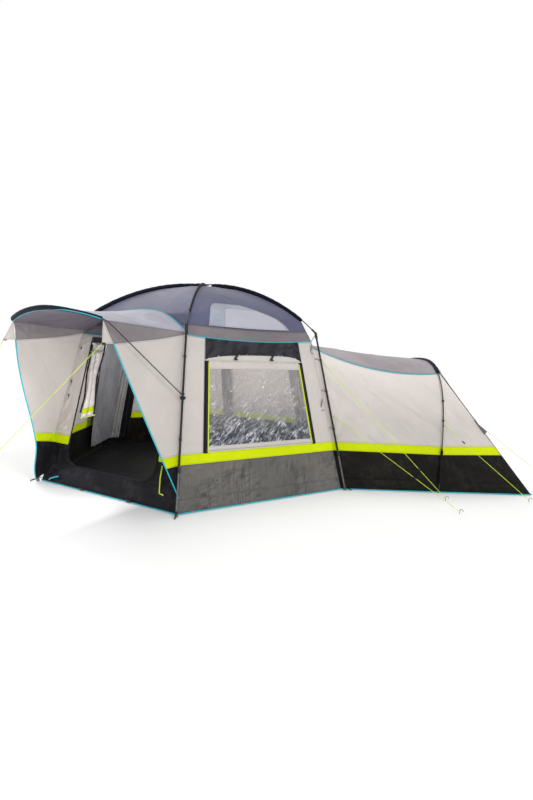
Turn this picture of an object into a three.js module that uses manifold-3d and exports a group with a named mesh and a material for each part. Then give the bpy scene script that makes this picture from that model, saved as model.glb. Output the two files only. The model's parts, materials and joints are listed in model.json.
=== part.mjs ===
// A hexagonal dome tent with a front canopy and a tunnel sleeping pod, on steel legs and bent poles.
// Millimetres. +Z up, +X towards the pod, origin on the ground under the middle of the dome.
import * as THREE from "three";
import { mergeVertices } from "three/addons/utils/BufferGeometryUtils.js";
import Module from "manifold-3d";

const wasm = await Module();
wasm.setup();

// ---- Driving dimensions ----
const FACES = 6;
const HALF_SECTOR = Math.PI / FACES;
const APEX_Z = 2150;

const LEG_FOOT_RADIUS = 1819;
const ELBOW_RADIUS = 1407;
const ELBOW_Z = 1595;
const LEG_TUBE = 9.5;
const POLE_ROD = 5.5;
const POLE_STACK = 12;
const SOCKET_WALL = 4;
const SOCKET_CLEARANCE = 0.5;
const BENT_POLE_CLEARANCE = 1.2;
const SOCKET_DEPTH = 58;
const SOCKET_STOP = 14;

const CLOTH = 2.5;
const GAP = 0.4;
const WALL_FOOT_RADIUS = 1778;
const WALL_INWARD_PER_MM = 0.275;
const EAVE_Z = 1510;
const EAVE_SAG = 35;
const EAVE_RADIUS = WALL_FOOT_RADIUS - WALL_INWARD_PER_MM * EAVE_Z;
const SLEEVE_END_RADIUS = 1240;
const ROOF_BELOW_POLE = 14;
const PEAK_GAP_RADIUS = 24;
const GORE_SIDE_GAP = 3;
const SLEEVE_SHARE = 7 / 9;

const WINDOW = { bottom: 492, top: 1285, side: 0.7 };
const PANE = { bottom: 535, top: 1215, side: 0.665 };
const VENT = { bottom: 1300, top: 1462, side: 0.68 };
const DOOR = { bottom: 205, top: 1420, bottomHalf: 595, topHalf: 520, corner: 170 };
const POD_DOOR = { bottom: 120, top: 1330, bottomHalf: 620, topHalf: 500, corner: 60 };

const CANOPY = { pivotZ: 967, cornerOut: 2010, cornerSide: 551, cornerZ: 1589, rise: 112 };
const WING_INSET = 24;

const POD = { hoopX: 2546, halfWidth: 908, top: 1362, tailX: 3522, tailHalf: 910, shoulderSide: 648, sag: 90 };
const HOOP_OUTSIDE = 12;

const CORD_RADIUS = 2.5;
const PEG_ROD = 3;
const PEG_HEIGHT = 42;

const COLORS = {
  roof: 0x5d606e,
  sleeve: 0x22233a,
  band: 0x787371,
  cream: 0xd6cfc4,
  mud: 0x2b2927,
  ground: 0x232326,
  lime: 0xd1ed00,
  steel: 0x1b1b1d,
  fibreglass: 0x2a2a2c,
  plastic: 0x141414,
  mesh: 0x2c2c30,
  clear: 0xdfe4ea,
  zinc: 0x8d9196,
};

// ---- Small helpers ----
const tent = new THREE.Group();

function material(color, roughness = 0.8, metalness = 0) {
  return new THREE.MeshStandardMaterial({ color, roughness, metalness });
}

function add(name, geometry, mat, parent = tent) {
  const mesh = new THREE.Mesh(geometry, mat);
  mesh.name = name;
  parent.add(mesh);
  return mesh;
}

function toSolid(geometry) {
  const bare = geometry.clone();
  bare.deleteAttribute("normal");
  bare.deleteAttribute("uv");
  const merged = mergeVertices(bare, 1e-3);
  return new wasm.Manifold(
    new wasm.Mesh({
      numProp: 3,
      vertProperties: merged.attributes.position.array,
      triVerts: new Uint32Array(merged.index.array),
    }),
  );
}

function toGeometry(solid) {
  const mesh = solid.getMesh();
  const geometry = new THREE.BufferGeometry();
  geometry.setAttribute("position", new THREE.BufferAttribute(Float32Array.from(mesh.vertProperties), 3));
  geometry.setIndex(new THREE.BufferAttribute(Uint32Array.from(mesh.triVerts), 1));
  geometry.computeVertexNormals();
  return geometry;
}

function join(geometries) {
  return toGeometry(geometries.map(toSolid).reduce((all, next) => all.add(next)));
}

function cut(geometry, cutters) {
  return toGeometry(cutters.map(toSolid).reduce((rest, next) => rest.subtract(next), toSolid(geometry)));
}

// A round rod from one point to another.
function rod(from, to, radius, sides = 12) {
  const along = to.clone().sub(from);
  const geometry = new THREE.CylinderGeometry(radius, radius, along.length(), sides);
  const turn = new THREE.Quaternion().setFromUnitVectors(
    new THREE.Vector3(0, 1, 0),
    along.clone().normalize(),
  );
  geometry.applyQuaternion(turn);
  const middle = from.clone().add(to).multiplyScalar(0.5);
  return geometry.translate(middle.x, middle.y, middle.z);
}

function circleShape(radius, sides) {
  const corners = [];
  for (let i = 0; i < sides; i++) {
    const angle = (2 * Math.PI * i) / sides;
    corners.push(new THREE.Vector2(radius * Math.cos(angle), radius * Math.sin(angle)));
  }
  return new THREE.Shape(corners);
}

// A bent rod through a list of points.
function bentRod(points, radius, steps, sides = 8) {
  return new THREE.ExtrudeGeometry(circleShape(radius, sides), {
    steps,
    extrudePath: new THREE.CatmullRomCurve3(points, false, "centripetal"),
  });
}

// Splits the back face's squares along the same diagonals as the front's, so that a twisted panel
// keeps its thickness everywhere. A box's back is its last group; each square is a, b, d and b, c, d.
function matchBackDiagonals(geometry) {
  const back = geometry.groups[5];
  const index = geometry.index;
  for (let i = back.start; i < back.start + back.count; i += 6) {
    const c = index.getX(i + 4);
    index.setX(i + 2, c);
    index.setX(i + 3, index.getX(i));
  }
}

// A cloth panel: a thin box bent onto the surface at(u, v), with its thickness behind that surface.
function cloth(at, uSteps, vSteps, thickness = CLOTH) {
  const geometry = new THREE.BoxGeometry(1, 1, 1, uSteps, vSteps, 1);
  matchBackDiagonals(geometry);
  const position = geometry.attributes.position;
  const small = 1e-3;
  for (let i = 0; i < position.count; i++) {
    const u = position.getX(i) + 0.5;
    const v = position.getY(i) + 0.5;
    const depth = 0.5 - position.getZ(i);
    const uSlope = at(Math.min(u + small, 1), v).sub(at(Math.max(u - small, 0), v));
    const vSlope = at(u, Math.min(v + small, 1)).sub(at(u, Math.max(v - small, 0)));
    const normal = uSlope.cross(vSlope).normalize();
    const point = at(u, v).addScaledVector(normal, -depth * thickness);
    position.setXYZ(i, point.x, point.y, point.z);
  }
  return geometry;
}

const polar = (radius, angle, z) =>
  new THREE.Vector3(radius * Math.cos(angle), radius * Math.sin(angle), z);

const radians = THREE.MathUtils.degToRad;
const lerp = THREE.MathUtils.lerp;

// Corners run anticlockwise seen from above; each face is named by the direction that it faces.
const CORNERS = {
  front_left: radians(-150),
  front_right: radians(-90),
  pod_right: radians(-30),
  pod_left: radians(30),
  back_right: radians(90),
  back_left: radians(150),
};
const FACE = {
  door: radians(-120),
  window: radians(-60),
  pod: radians(0),
  rear_right: radians(60),
  rear: radians(120),
  rear_left: radians(180),
};

// ---- Frame ----
const legRadiusAt = (z) => lerp(LEG_FOOT_RADIUS, ELBOW_RADIUS, z / ELBOW_Z);
const legPoint = (angle, z) => polar(legRadiusAt(z), angle, z);

// A roof pole is a circular arc with its top at the peak; the three stack where they cross.
function poleArc(peakZ) {
  const drop = peakZ - ELBOW_Z;
  const radius = (ELBOW_RADIUS * ELBOW_RADIUS + drop * drop) / (2 * drop);
  return { radius, centreZ: peakZ - radius, end: Math.asin(ELBOW_RADIUS / radius) };
}

function addRoofPole(name, angle, peakZ) {
  const arc = poleArc(peakZ);
  const end = arc.end - SOCKET_STOP / arc.radius;
  const points = [];
  const spans = 24;
  for (let i = 0; i <= spans; i++) {
    const bend = lerp(-end, end, i / spans);
    points.push(polar(arc.radius * Math.sin(bend), angle, arc.centreZ + arc.radius * Math.cos(bend)));
  }
  add(name, bentRod(points, POLE_ROD, 22), material(COLORS.fibreglass, 0.5));
}

const outerPeakZ = APEX_Z - POLE_ROD;
addRoofPole("roof_pole_a", CORNERS.front_left, outerPeakZ - 2 * POLE_STACK);
addRoofPole("roof_pole_b", CORNERS.front_right, outerPeakZ - POLE_STACK);
addRoofPole("roof_pole_c", CORNERS.pod_right, outerPeakZ);
const CORNER_PEAK = {
  front_left: outerPeakZ - 2 * POLE_STACK,
  pod_left: outerPeakZ - 2 * POLE_STACK,
  front_right: outerPeakZ - POLE_STACK,
  back_right: outerPeakZ - POLE_STACK,
  pod_right: outerPeakZ,
  back_left: outerPeakZ,
};

// A steel leg: it stands on the ground and ends inside the elbow.
function addLeg(corner) {
  const angle = CORNERS[corner];
  const lean = legPoint(angle, 0).sub(legPoint(angle, ELBOW_Z)).normalize();
  const top = legPoint(angle, ELBOW_Z).addScaledVector(lean, SOCKET_STOP);
  const shaft = rod(legPoint(angle, LEG_TUBE), top, LEG_TUBE);
  const foot = new THREE.CylinderGeometry(LEG_TUBE + 2, LEG_TUBE + 6, 30, 12)
    .rotateX(Math.PI / 2)
    .translate(...legPoint(angle, 15).toArray());
  add("leg_" + corner, join([shaft, foot]), material(COLORS.steel, 0.4, 0.6));
}

// The plastic elbow holds the leg in one arm and the roof pole in the other.
function addElbow(corner) {
  const angle = CORNERS[corner];
  const centre = legPoint(angle, ELBOW_Z);
  const arc = poleArc(CORNER_PEAK[corner]);
  const legWay = legPoint(angle, 0).sub(centre).normalize();
  const poleBend = arc.end - SOCKET_DEPTH / 2 / arc.radius;
  const poleWay = polar(-Math.cos(poleBend), angle, Math.sin(poleBend));
  const arm = (way, from, to, radius) =>
    rod(centre.clone().addScaledVector(way, from), centre.clone().addScaledVector(way, to), radius);
  const outer = LEG_TUBE + SOCKET_WALL;
  const body = join([
    arm(legWay, 0, SOCKET_DEPTH, outer),
    arm(poleWay, 0, SOCKET_DEPTH, POLE_ROD + SOCKET_WALL),
    new THREE.SphereGeometry(outer + 1, 10, 6).translate(centre.x, centre.y, centre.z),
  ]);
  const bores = [
    arm(legWay, SOCKET_STOP - 1, SOCKET_DEPTH + 5, LEG_TUBE + SOCKET_CLEARANCE),
    arm(poleWay, SOCKET_STOP - 1, SOCKET_DEPTH + 5, POLE_ROD + BENT_POLE_CLEARANCE),
  ];
  add("elbow_" + corner, cut(body, bores), material(COLORS.plastic, 0.6));
}

for (const corner of Object.keys(CORNERS)) {
  addLeg(corner);
  addElbow(corner);
}

// ---- Canopy frame ----
// Canopy points are given as: out = distance from the tent's axis along the door's normal,
// side = sideways, positive towards the window, and z.
const doorOut = polar(1, FACE.door, 0);
const doorSide = polar(1, FACE.door + Math.PI / 2, 0);
const atDoor = (out, side, z) =>
  new THREE.Vector3(0, 0, z).addScaledVector(doorOut, out).addScaledVector(doorSide, side);

const pivotRadius = legRadiusAt(CANOPY.pivotZ);
const PIVOT_OUT = pivotRadius * Math.cos(HALF_SECTOR);
const PIVOT_SIDE = pivotRadius * Math.sin(HALF_SECTOR);
const HUB_BOSS = { radius: 17, half: 15 };
const PIN = { radius: 4, bore: 4.6, length: 12 };
const KNUCKLE = { radius: 11, half: 5 };
const BOW_ROD = 4.5;
const KNUCKLE_SIDE = PIVOT_SIDE + HUB_BOSS.half + 3 * GAP + KNUCKLE.half;

function addCanopyHub(name, hand, corner) {
  const from = atDoor(PIVOT_OUT, hand * (PIVOT_SIDE - HUB_BOSS.half), CANOPY.pivotZ);
  const to = atDoor(PIVOT_OUT, hand * (PIVOT_SIDE + HUB_BOSS.half), CANOPY.pivotZ);
  const pinEnd = atDoor(PIVOT_OUT, hand * (PIVOT_SIDE + HUB_BOSS.half + PIN.length), CANOPY.pivotZ);
  const legBore = rod(
    legPoint(CORNERS[corner], CANOPY.pivotZ - 60),
    legPoint(CORNERS[corner], CANOPY.pivotZ + 60),
    LEG_TUBE + GAP,
  );
  const boss = cut(rod(from, to, HUB_BOSS.radius, 20), [legBore]);
  add(name, join([boss, rod(to, pinEnd, PIN.radius, 12)]), material(COLORS.plastic, 0.6));
}
addCanopyHub("canopy_hub_right", 1, "front_right");
addCanopyHub("canopy_hub_left", -1, "front_left");

// The bow runs in one tilted plane from hub to hub, round the canopy's two front corners.
const bowTilt = Math.atan2(CANOPY.cornerZ - CANOPY.pivotZ, CANOPY.cornerOut - PIVOT_OUT);
function bowPoint(reach, side) {
  const out = PIVOT_OUT + reach * Math.cos(bowTilt);
  return atDoor(out, side, CANOPY.pivotZ + reach * Math.sin(bowTilt));
}
const cornerReach = Math.hypot(CANOPY.cornerOut - PIVOT_OUT, CANOPY.cornerZ - CANOPY.pivotZ);
const frontArch = (side) => cornerReach + CANOPY.rise * (1 - (side / CANOPY.cornerSide) ** 2);

function bowPath() {
  const rightHalf = [];
  const legSpans = 4;
  const clearOfHub = HUB_BOSS.radius + 10;
  rightHalf.push(bowPoint(KNUCKLE.radius - 3, KNUCKLE_SIDE));
  for (let i = 0; i < legSpans; i++) {
    const t = i / legSpans;
    const reach = lerp(clearOfHub, cornerReach - 40, t);
    rightHalf.push(bowPoint(reach, lerp(KNUCKLE_SIDE, CANOPY.cornerSide + 34, t)));
  }
  rightHalf.push(bowPoint(cornerReach - 45, CANOPY.cornerSide + 33));
  rightHalf.push(bowPoint(cornerReach - 8, CANOPY.cornerSide + 10));
  const points = [...rightHalf];
  for (const side of [0.9, 0.7, 0.45, 0.2, 0, -0.2, -0.45, -0.7, -0.9]) {
    points.push(bowPoint(frontArch(side * CANOPY.cornerSide), side * CANOPY.cornerSide));
  }
  const mirrored = rightHalf.reverse().map((point) => {
    const side = point.dot(doorSide);
    return point.clone().addScaledVector(doorSide, -2 * side);
  });
  return [...points, ...mirrored];
}

function addCanopyBow() {
  const knuckle = (hand) =>
    rod(
      atDoor(PIVOT_OUT, hand * (KNUCKLE_SIDE - KNUCKLE.half), CANOPY.pivotZ),
      atDoor(PIVOT_OUT, hand * (KNUCKLE_SIDE + KNUCKLE.half), CANOPY.pivotZ),
      KNUCKLE.radius,
      20,
    );
  const bore = (hand) =>
    rod(
      atDoor(PIVOT_OUT, hand * (KNUCKLE_SIDE - 20), CANOPY.pivotZ),
      atDoor(PIVOT_OUT, hand * (KNUCKLE_SIDE + 20), CANOPY.pivotZ),
      PIN.bore,
      12,
    );
  const body = join([bentRod(bowPath(), BOW_ROD, 44), knuckle(1), knuckle(-1)]);
  add("canopy_bow", cut(body, [bore(1), bore(-1)]), material(COLORS.fibreglass, 0.5));
}
addCanopyBow();

// ---- Dome cloth ----
const wallRadiusAt = (z) => WALL_FOOT_RADIUS - WALL_INWARD_PER_MM * z;
const wallOutAt = (z) => wallRadiusAt(z) * Math.cos(HALF_SECTOR);
const wallHalfAt = (z) => wallRadiusAt(z) * Math.sin(HALF_SECTOR);

// The wall's own plane: x sideways, y up the slope, z outwards, from the middle of its foot.
const SLOPE = Math.atan(WALL_INWARD_PER_MM * Math.cos(HALF_SECTOR));
const upSlope = (z) => z / Math.cos(SLOPE);

function wallMatrix(face) {
  const across = polar(1, face + Math.PI / 2, 0);
  const up = polar(-Math.sin(SLOPE), face, Math.cos(SLOPE));
  const outward = polar(Math.cos(SLOPE), face, Math.sin(SLOPE));
  const basis = new THREE.Matrix4().makeBasis(across, up, outward);
  return basis.setPosition(polar(wallOutAt(0), face, 0));
}

function wallPlane(face) {
  const plane = new THREE.Group();
  plane.applyMatrix4(wallMatrix(face));
  tent.add(plane);
  return plane;
}

// The wall's outline stops short of its two corners by the given trims.
function wallOutline(startTrim = 2, endTrim = 2) {
  const shape = new THREE.Shape();
  const topZ = EAVE_Z - 4;
  shape.moveTo(-wallHalfAt(0) + startTrim, 0);
  shape.lineTo(wallHalfAt(0) - endTrim, 0);
  shape.lineTo(wallHalfAt(topZ) - endTrim, upSlope(topZ));
  shape.quadraticCurveTo(0, upSlope(topZ - 2 * EAVE_SAG), -wallHalfAt(topZ) + startTrim, upSlope(topZ));
  shape.closePath();
  return shape;
}

// A four-sided outline in the wall's plane, whose sides are at the given share of the wall's half width.
function bay(bottomZ, topZ, side, inset = 0) {
  const lower = side * wallHalfAt(bottomZ) - inset;
  const upper = side * wallHalfAt(topZ) - inset;
  const bottom = upSlope(bottomZ) + inset;
  const top = upSlope(topZ) - inset;
  const corners = [
    [-lower, bottom],
    [lower, bottom],
    [upper, top],
    [-upper, top],
  ];
  return corners.map(([x, y]) => new THREE.Vector2(x, y));
}

// A doorway outline with rounded lower corners.
function doorway({ bottom, top, bottomHalf, topHalf, corner }) {
  const path = new THREE.Path();
  const low = upSlope(bottom);
  path.moveTo(-topHalf, upSlope(top));
  path.lineTo(-bottomHalf, low + corner);
  path.quadraticCurveTo(-bottomHalf, low, -bottomHalf + corner, low);
  path.lineTo(bottomHalf - corner, low);
  path.quadraticCurveTo(bottomHalf, low, bottomHalf, low + corner);
  path.lineTo(topHalf, upSlope(top));
  path.closePath();
  return path;
}

function flatCloth(shape, thickness = CLOTH) {
  const geometry = new THREE.ExtrudeGeometry(shape, {
    depth: thickness,
    bevelEnabled: false,
    curveSegments: 8,
  });
  return geometry.translate(0, 0, -thickness);
}

function addWindowWall() {
  const plane = wallPlane(FACE.window);
  const wall = wallOutline();
  wall.holes.push(new THREE.Path(bay(WINDOW.bottom, WINDOW.top, WINDOW.side)));
  wall.holes.push(new THREE.Path(bay(VENT.bottom, VENT.top, VENT.side)));
  add("wall_window", flatCloth(wall), material(COLORS.cream), plane);
  const panel = new THREE.Shape(bay(WINDOW.bottom, WINDOW.top, WINDOW.side, 3));
  panel.holes.push(new THREE.Path(bay(PANE.bottom, PANE.top, PANE.side)));
  add("window_panel", flatCloth(panel), material(COLORS.cream), plane);
  const pane = new THREE.Shape(bay(PANE.bottom, PANE.top, PANE.side, GAP));
  add("window_pane", flatCloth(pane), material(COLORS.clear, 0.1), plane);
  const vent = new THREE.Shape(bay(VENT.bottom, VENT.top, VENT.side, GAP));
  add("vent_mesh", flatCloth(vent), material(COLORS.mesh), plane);
  const sliderShape = new THREE.Shape();
  sliderShape.moveTo(-5, 0);
  sliderShape.lineTo(5, 0);
  sliderShape.lineTo(7, 18);
  sliderShape.lineTo(0, 26);
  sliderShape.lineTo(-7, 18);
  sliderShape.closePath();
  for (const [name, hand] of [["zip_slider_left", -1], ["zip_slider_right", 1]]) {
    const slider = flatCloth(sliderShape, 8);
    slider.translate(hand * (WINDOW.side * wallHalfAt(WINDOW.bottom) + 9), upSlope(WINDOW.bottom), 8 + GAP);
    add(name, slider, material(COLORS.plastic, 0.5), plane);
  }
}

function addDoorWall() {
  const plane = wallPlane(FACE.door);
  const wall = wallOutline();
  wall.holes.push(doorway(DOOR));
  add("wall_door", flatCloth(wall), material(COLORS.cream), plane);
}

function addPodWall() {
  const plane = wallPlane(FACE.pod);
  const wall = wallOutline();
  wall.holes.push(doorway(POD_DOOR));
  add("wall_pod_doorway", flatCloth(wall), material(COLORS.cream), plane);
}

// The three plain faces behind are one folded wall, joined at its two inner corners.
function addRearWall() {
  const seamTrim = 0.3;
  const panels = [
    [FACE.rear_right, 2, seamTrim],
    [FACE.rear, seamTrim, seamTrim],
    [FACE.rear_left, seamTrim, 2],
  ];
  const geometries = panels.map(([face, startTrim, endTrim]) =>
    flatCloth(wallOutline(startTrim, endTrim)).applyMatrix4(wallMatrix(face)),
  );
  add("wall_rear", join(geometries), material(COLORS.cream));
}

addDoorWall();
addWindowWall();
addPodWall();
addRearWall();

// The door leaf is gathered along the left edge of the doorway, from the top of the opening, and leans with the wall.
const LEAF = { topLeft: -545, bottomLeft: -548, topWidth: 180, bottomWidth: 210, topZ: 1400, bottomZ: 660 };
const LEAF_INSIDE = 48;
const LEAF_DEPTH = 26;
function addDoorLeaf() {
  const at = (u, v) => {
    const z = lerp(LEAF.bottomZ, LEAF.topZ, v);
    const left = lerp(LEAF.bottomLeft, LEAF.topLeft, v);
    const width = lerp(LEAF.bottomWidth, LEAF.topWidth, v);
    return atDoor(wallOutAt(z) - LEAF_INSIDE, left + width * u, z);
  };
  add("door_leaf", cloth(at, 3, 6, LEAF_DEPTH), material(COLORS.cream));
}
addDoorLeaf();

// The roof's edge under a pole: it follows the pole to the end of its sleeve, then drops to the eave.
const roofArc = poleArc(outerPeakZ - 2 * POLE_STACK);
const roofArcRadius = roofArc.radius - ROOF_BELOW_POLE;
function roofEdge(share) {
  const bendAtSleeveEnd = Math.asin(SLEEVE_END_RADIUS / roofArcRadius);
  if (share < SLEEVE_SHARE) {
    const start = PEAK_GAP_RADIUS / roofArcRadius;
    const bend = lerp(start, bendAtSleeveEnd, share / SLEEVE_SHARE);
    return {
      radius: roofArcRadius * Math.sin(bend),
      z: roofArc.centreZ + roofArcRadius * Math.cos(bend),
    };
  }
  const t = (share - SLEEVE_SHARE) / (1 - SLEEVE_SHARE);
  const sleeveEndZ = roofArc.centreZ + roofArcRadius * Math.cos(bendAtSleeveEnd);
  return { radius: lerp(SLEEVE_END_RADIUS, EAVE_RADIUS, t), z: lerp(sleeveEndZ, EAVE_Z, t) };
}

function gorePoint(face, across, share, lift = 0) {
  const edge = roofEdge(share);
  const out = edge.radius * Math.cos(HALF_SECTOR);
  const half = edge.radius * Math.sin(HALF_SECTOR) - GORE_SIDE_GAP;
  const belowSleeve = Math.max(0, (share - SLEEVE_SHARE) / (1 - SLEEVE_SHARE));
  const sag = EAVE_SAG * (1 - across * across) * belowSleeve;
  return new THREE.Vector3(0, 0, edge.z - sag)
    .addScaledVector(polar(0.6, face, 0.8), lift)
    .addScaledVector(polar(1, face, 0), out)
    .addScaledVector(polar(1, face + Math.PI / 2, 0), half * across);
}

function addGore(name, face) {
  add(name, cloth((u, v) => gorePoint(face, 2 * u - 1, 1 - v), 4, 9), material(COLORS.roof));
}
for (const [name, face] of Object.entries(FACE)) {
  addGore("roof_gore_" + name, face);
}

// The roof light is a D-shaped translucent patch on the gore over the window wall.
const ROOF_LIGHT = { topShare: 0.636, bottomShare: 0.893, topHalf: 0.52, bottomHalf: 0.75, proud: 2 * CLOTH + 5 * GAP };
function addRoofLight() {
  const steps = 6;
  const bendRow = 2 / steps;
  const at = (u, v) => {
    const half = lerp(ROOF_LIGHT.bottomHalf, ROOF_LIGHT.topHalf, v * v);
    const share =
      v < bendRow
        ? lerp(ROOF_LIGHT.bottomShare, SLEEVE_SHARE, v / bendRow)
        : lerp(SLEEVE_SHARE, ROOF_LIGHT.topShare, (v - bendRow) / (1 - bendRow));
    return gorePoint(FACE.window, half * (2 * u - 1), share, ROOF_LIGHT.proud);
  };
  add("roof_light", cloth(at, 4, steps), material(COLORS.clear, 0.3));
}
addRoofLight();

// ---- Canopy cloth ----
// The canopy leaves the door's gore on a curved seam and ends on the bow.
function canopySeam(side) {
  const share = lerp(0.735, 0.98, Math.abs(side) ** 2.6);
  const onRoof = gorePoint(FACE.door, side * 0.985, share);
  return onRoof.addScaledVector(doorOut, 5).add(new THREE.Vector3(0, 0, 7));
}

function canopyPoint(forward, side) {
  const front = bowPoint(frontArch(side * CANOPY.cornerSide) - 12, side * CANOPY.cornerSide);
  front.z -= 5;
  const dip = 18 * Math.sin(Math.PI * forward) * (1 - side * side);
  const point = canopySeam(side).lerp(front, forward);
  point.z -= dip;
  return point;
}
add("canopy_top", cloth((u, v) => canopyPoint(1 - v, 2 * u - 1), 10, 5), material(COLORS.band));

// A wing closes the canopy's side from the front leg to its free front edge.
function wingPoint(hand, down, forward) {
  const legTop = [wallOutAt(EAVE_Z) + 18, wallHalfAt(EAVE_Z) - 4, EAVE_Z];
  const legFoot = [wallOutAt(70) + 30, wallHalfAt(70) - 8, 70];
  const corner = [CANOPY.cornerOut - 14, CANOPY.cornerSide - 16, CANOPY.cornerZ - 14];
  const gusset = [1924, 600 - WING_INSET, 1400];
  const hemFoot = [1566, 868, 75];
  const back = legTop.map((value, i) => lerp(value, legFoot[i], down));
  const gussetShare = 0.13;
  const front = corner.map((value, i) =>
    down < gussetShare
      ? lerp(value, gusset[i], down / gussetShare)
      : lerp(gusset[i], hemFoot[i], (down - gussetShare) / (1 - gussetShare)),
  );
  const [out, side, z] = back.map((value, i) => lerp(value, front[i], forward));
  return atDoor(out, hand * side, z);
}
add("canopy_wing_right", cloth((u, v) => wingPoint(1, 1 - v, 1 - u), 3, 12), material(COLORS.cream));
add("canopy_wing_left", cloth((u, v) => wingPoint(-1, 1 - v, u), 3, 12), material(COLORS.cream));

// ---- Pod ----
// The hoop's half section: a squared arch. height runs 0 at the ground to 1 at the roof's shoulder.
const podShoulderZ = POD.top * (1 - (POD.shoulderSide / POD.halfWidth) ** 3) ** 0.25;
const archSide = (z, half, top) => half * (1 - (z / top) ** 4) ** (1 / 3);
const POD_FRONT = { gap: 5, shoulderZ: 1440, ridgeZ: 1488 };
const POD_HOOP_SHARE = 0.62;

function podSidePoint(hand, along, height) {
  const frontZ = height * POD_FRONT.shoulderZ;
  const front = [wallOutAt(frontZ) + POD_FRONT.gap, wallHalfAt(frontZ) - 6, frontZ];
  const hoopZ = height * podShoulderZ;
  const hoop = [POD.hoopX, archSide(hoopZ, POD.halfWidth, POD.top), hoopZ];
  const tail = [
    lerp(POD.tailX, POD.hoopX + 24, height),
    lerp(POD.tailHalf, POD.shoulderSide - 4, height),
    hoopZ,
  ];
  const inFront = along < POD_HOOP_SHARE;
  const t = inFront ? along / POD_HOOP_SHARE : (along - POD_HOOP_SHARE) / (1 - POD_HOOP_SHARE);
  const [from, to] = inFront ? [front, hoop] : [hoop, tail];
  const [x, side, z] = from.map((value, i) => lerp(value, to[i], t));
  const sag = inFront ? POD.sag * 4 * t * (1 - t) * height : 0;
  return new THREE.Vector3(x, hand * side, z - sag);
}
add("pod_wall_right", cloth((u, v) => podSidePoint(-1, u, v), 8, 6), material(COLORS.cream));
add("pod_wall_left", cloth((u, v) => podSidePoint(1, 1 - u, v), 8, 6), material(COLORS.cream));

function podRoofPoint(along, across) {
  const edge = podSidePoint(1, along * POD_HOOP_SHARE, 1);
  const ridgeZ = lerp(POD_FRONT.ridgeZ, POD.top, along) - 12 * Math.sin(Math.PI * along);
  const crown = (1 - Math.abs(across) ** 3) ** 0.8;
  return new THREE.Vector3(edge.x, across * (edge.y - 4), lerp(edge.z + 3, ridgeZ, crown));
}
add("pod_roof", cloth((u, v) => podRoofPoint(u, 2 * v - 1), 5, 8), material(COLORS.band));

// The pod's end slopes from the hoop down to the ground.
function podEndPoint(across, height) {
  const top = POD.shoulderSide - 10;
  const foot = POD.tailHalf - 6;
  const archZ = POD.top * (1 - (Math.abs(across * top) / POD.halfWidth) ** 3) ** 0.25;
  return new THREE.Vector3(
    lerp(POD.tailX + 6, POD.hoopX + 34, height),
    across * lerp(foot, top, height),
    lerp(0, archZ, height),
  );
}
add("pod_end", cloth((u, v) => podEndPoint(2 * u - 1, v), 7, 4), material(COLORS.mud));

function addPodHoop() {
  const half = POD.halfWidth + HOOP_OUTSIDE;
  const top = POD.top + HOOP_OUTSIDE - 2;
  const quarter = [];
  const spans = 14;
  for (let i = 0; i <= spans; i++) {
    const angle = (Math.PI / 2) * (i / spans);
    quarter.push([half * Math.cos(angle) ** (2 / 3), top * Math.sin(angle) ** 0.5]);
  }
  const right = quarter.map(([side, z]) => new THREE.Vector3(POD.hoopX, -side, z));
  const left = quarter.map(([side, z]) => new THREE.Vector3(POD.hoopX, side, z)).reverse();
  add("pod_hoop", bentRod([...right, ...left.slice(1)], POLE_ROD, 40), material(COLORS.fibreglass, 0.5));
}
addPodHoop();

// ---- Groundsheets ----
function addDomeGroundsheet() {
  const corners = [];
  for (const angle of Object.values(CORNERS)) {
    const radius = WALL_FOOT_RADIUS - 5;
    corners.push(new THREE.Vector2(radius * Math.cos(angle), radius * Math.sin(angle)));
  }
  const sheet = flatCloth(new THREE.Shape(corners), 3).translate(0, 0, 3);
  add("groundsheet_dome", sheet, material(COLORS.ground));
}
function addPodGroundsheet() {
  const startX = wallOutAt(0) + POD_FRONT.gap + 2;
  const startHalf = wallHalfAt(0) - 14;
  const corners = [
    [startX, -startHalf],
    [POD.tailX - 12, -POD.tailHalf + 14],
    [POD.tailX - 12, POD.tailHalf - 14],
    [startX, startHalf],
  ];
  const shape = new THREE.Shape(corners.map(([x, y]) => new THREE.Vector2(x, y)));
  add("groundsheet_pod", flatCloth(shape, 3).translate(0, 0, 3), material(COLORS.ground));
}
addDomeGroundsheet();
addPodGroundsheet();

// ---- Guy lines ----
// Each line runs straight from its loop on the tent to a peg; only the peg's head stands out of the ground.
const CANOPY_TIP_RIGHT = atDoor(CANOPY.cornerOut + 4, CANOPY.cornerSide, CANOPY.cornerZ - 190);
const CANOPY_TIP_LEFT = atDoor(CANOPY.cornerOut + 20, -CANOPY.cornerSide - 105, CANOPY.cornerZ - 177);
const legGuy = (z) => legPoint(CORNERS.pod_right, z).add(new THREE.Vector3(LEG_TUBE + 4, -3, 0));
const GUYS = {
  leg_top: { from: legGuy(1300), peg: [2516, -1175], runner: 0.8 },
  leg_middle: { from: legGuy(750), peg: [2488, -1554], runner: 0.68 },
  pod_hoop: { from: new THREE.Vector3(POD.hoopX + 8, -POD.halfWidth - 32, 700), peg: [3360, -1143], runner: 0.22 },
  pod_tail: { from: new THREE.Vector3(3050, -812, 640), peg: [3880, -1000] },
  canopy_right: { from: CANOPY_TIP_RIGHT, peg: [-1760, -2230] },
  canopy_left: { from: CANOPY_TIP_LEFT, peg: [-1960, -1860] },
};

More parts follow.
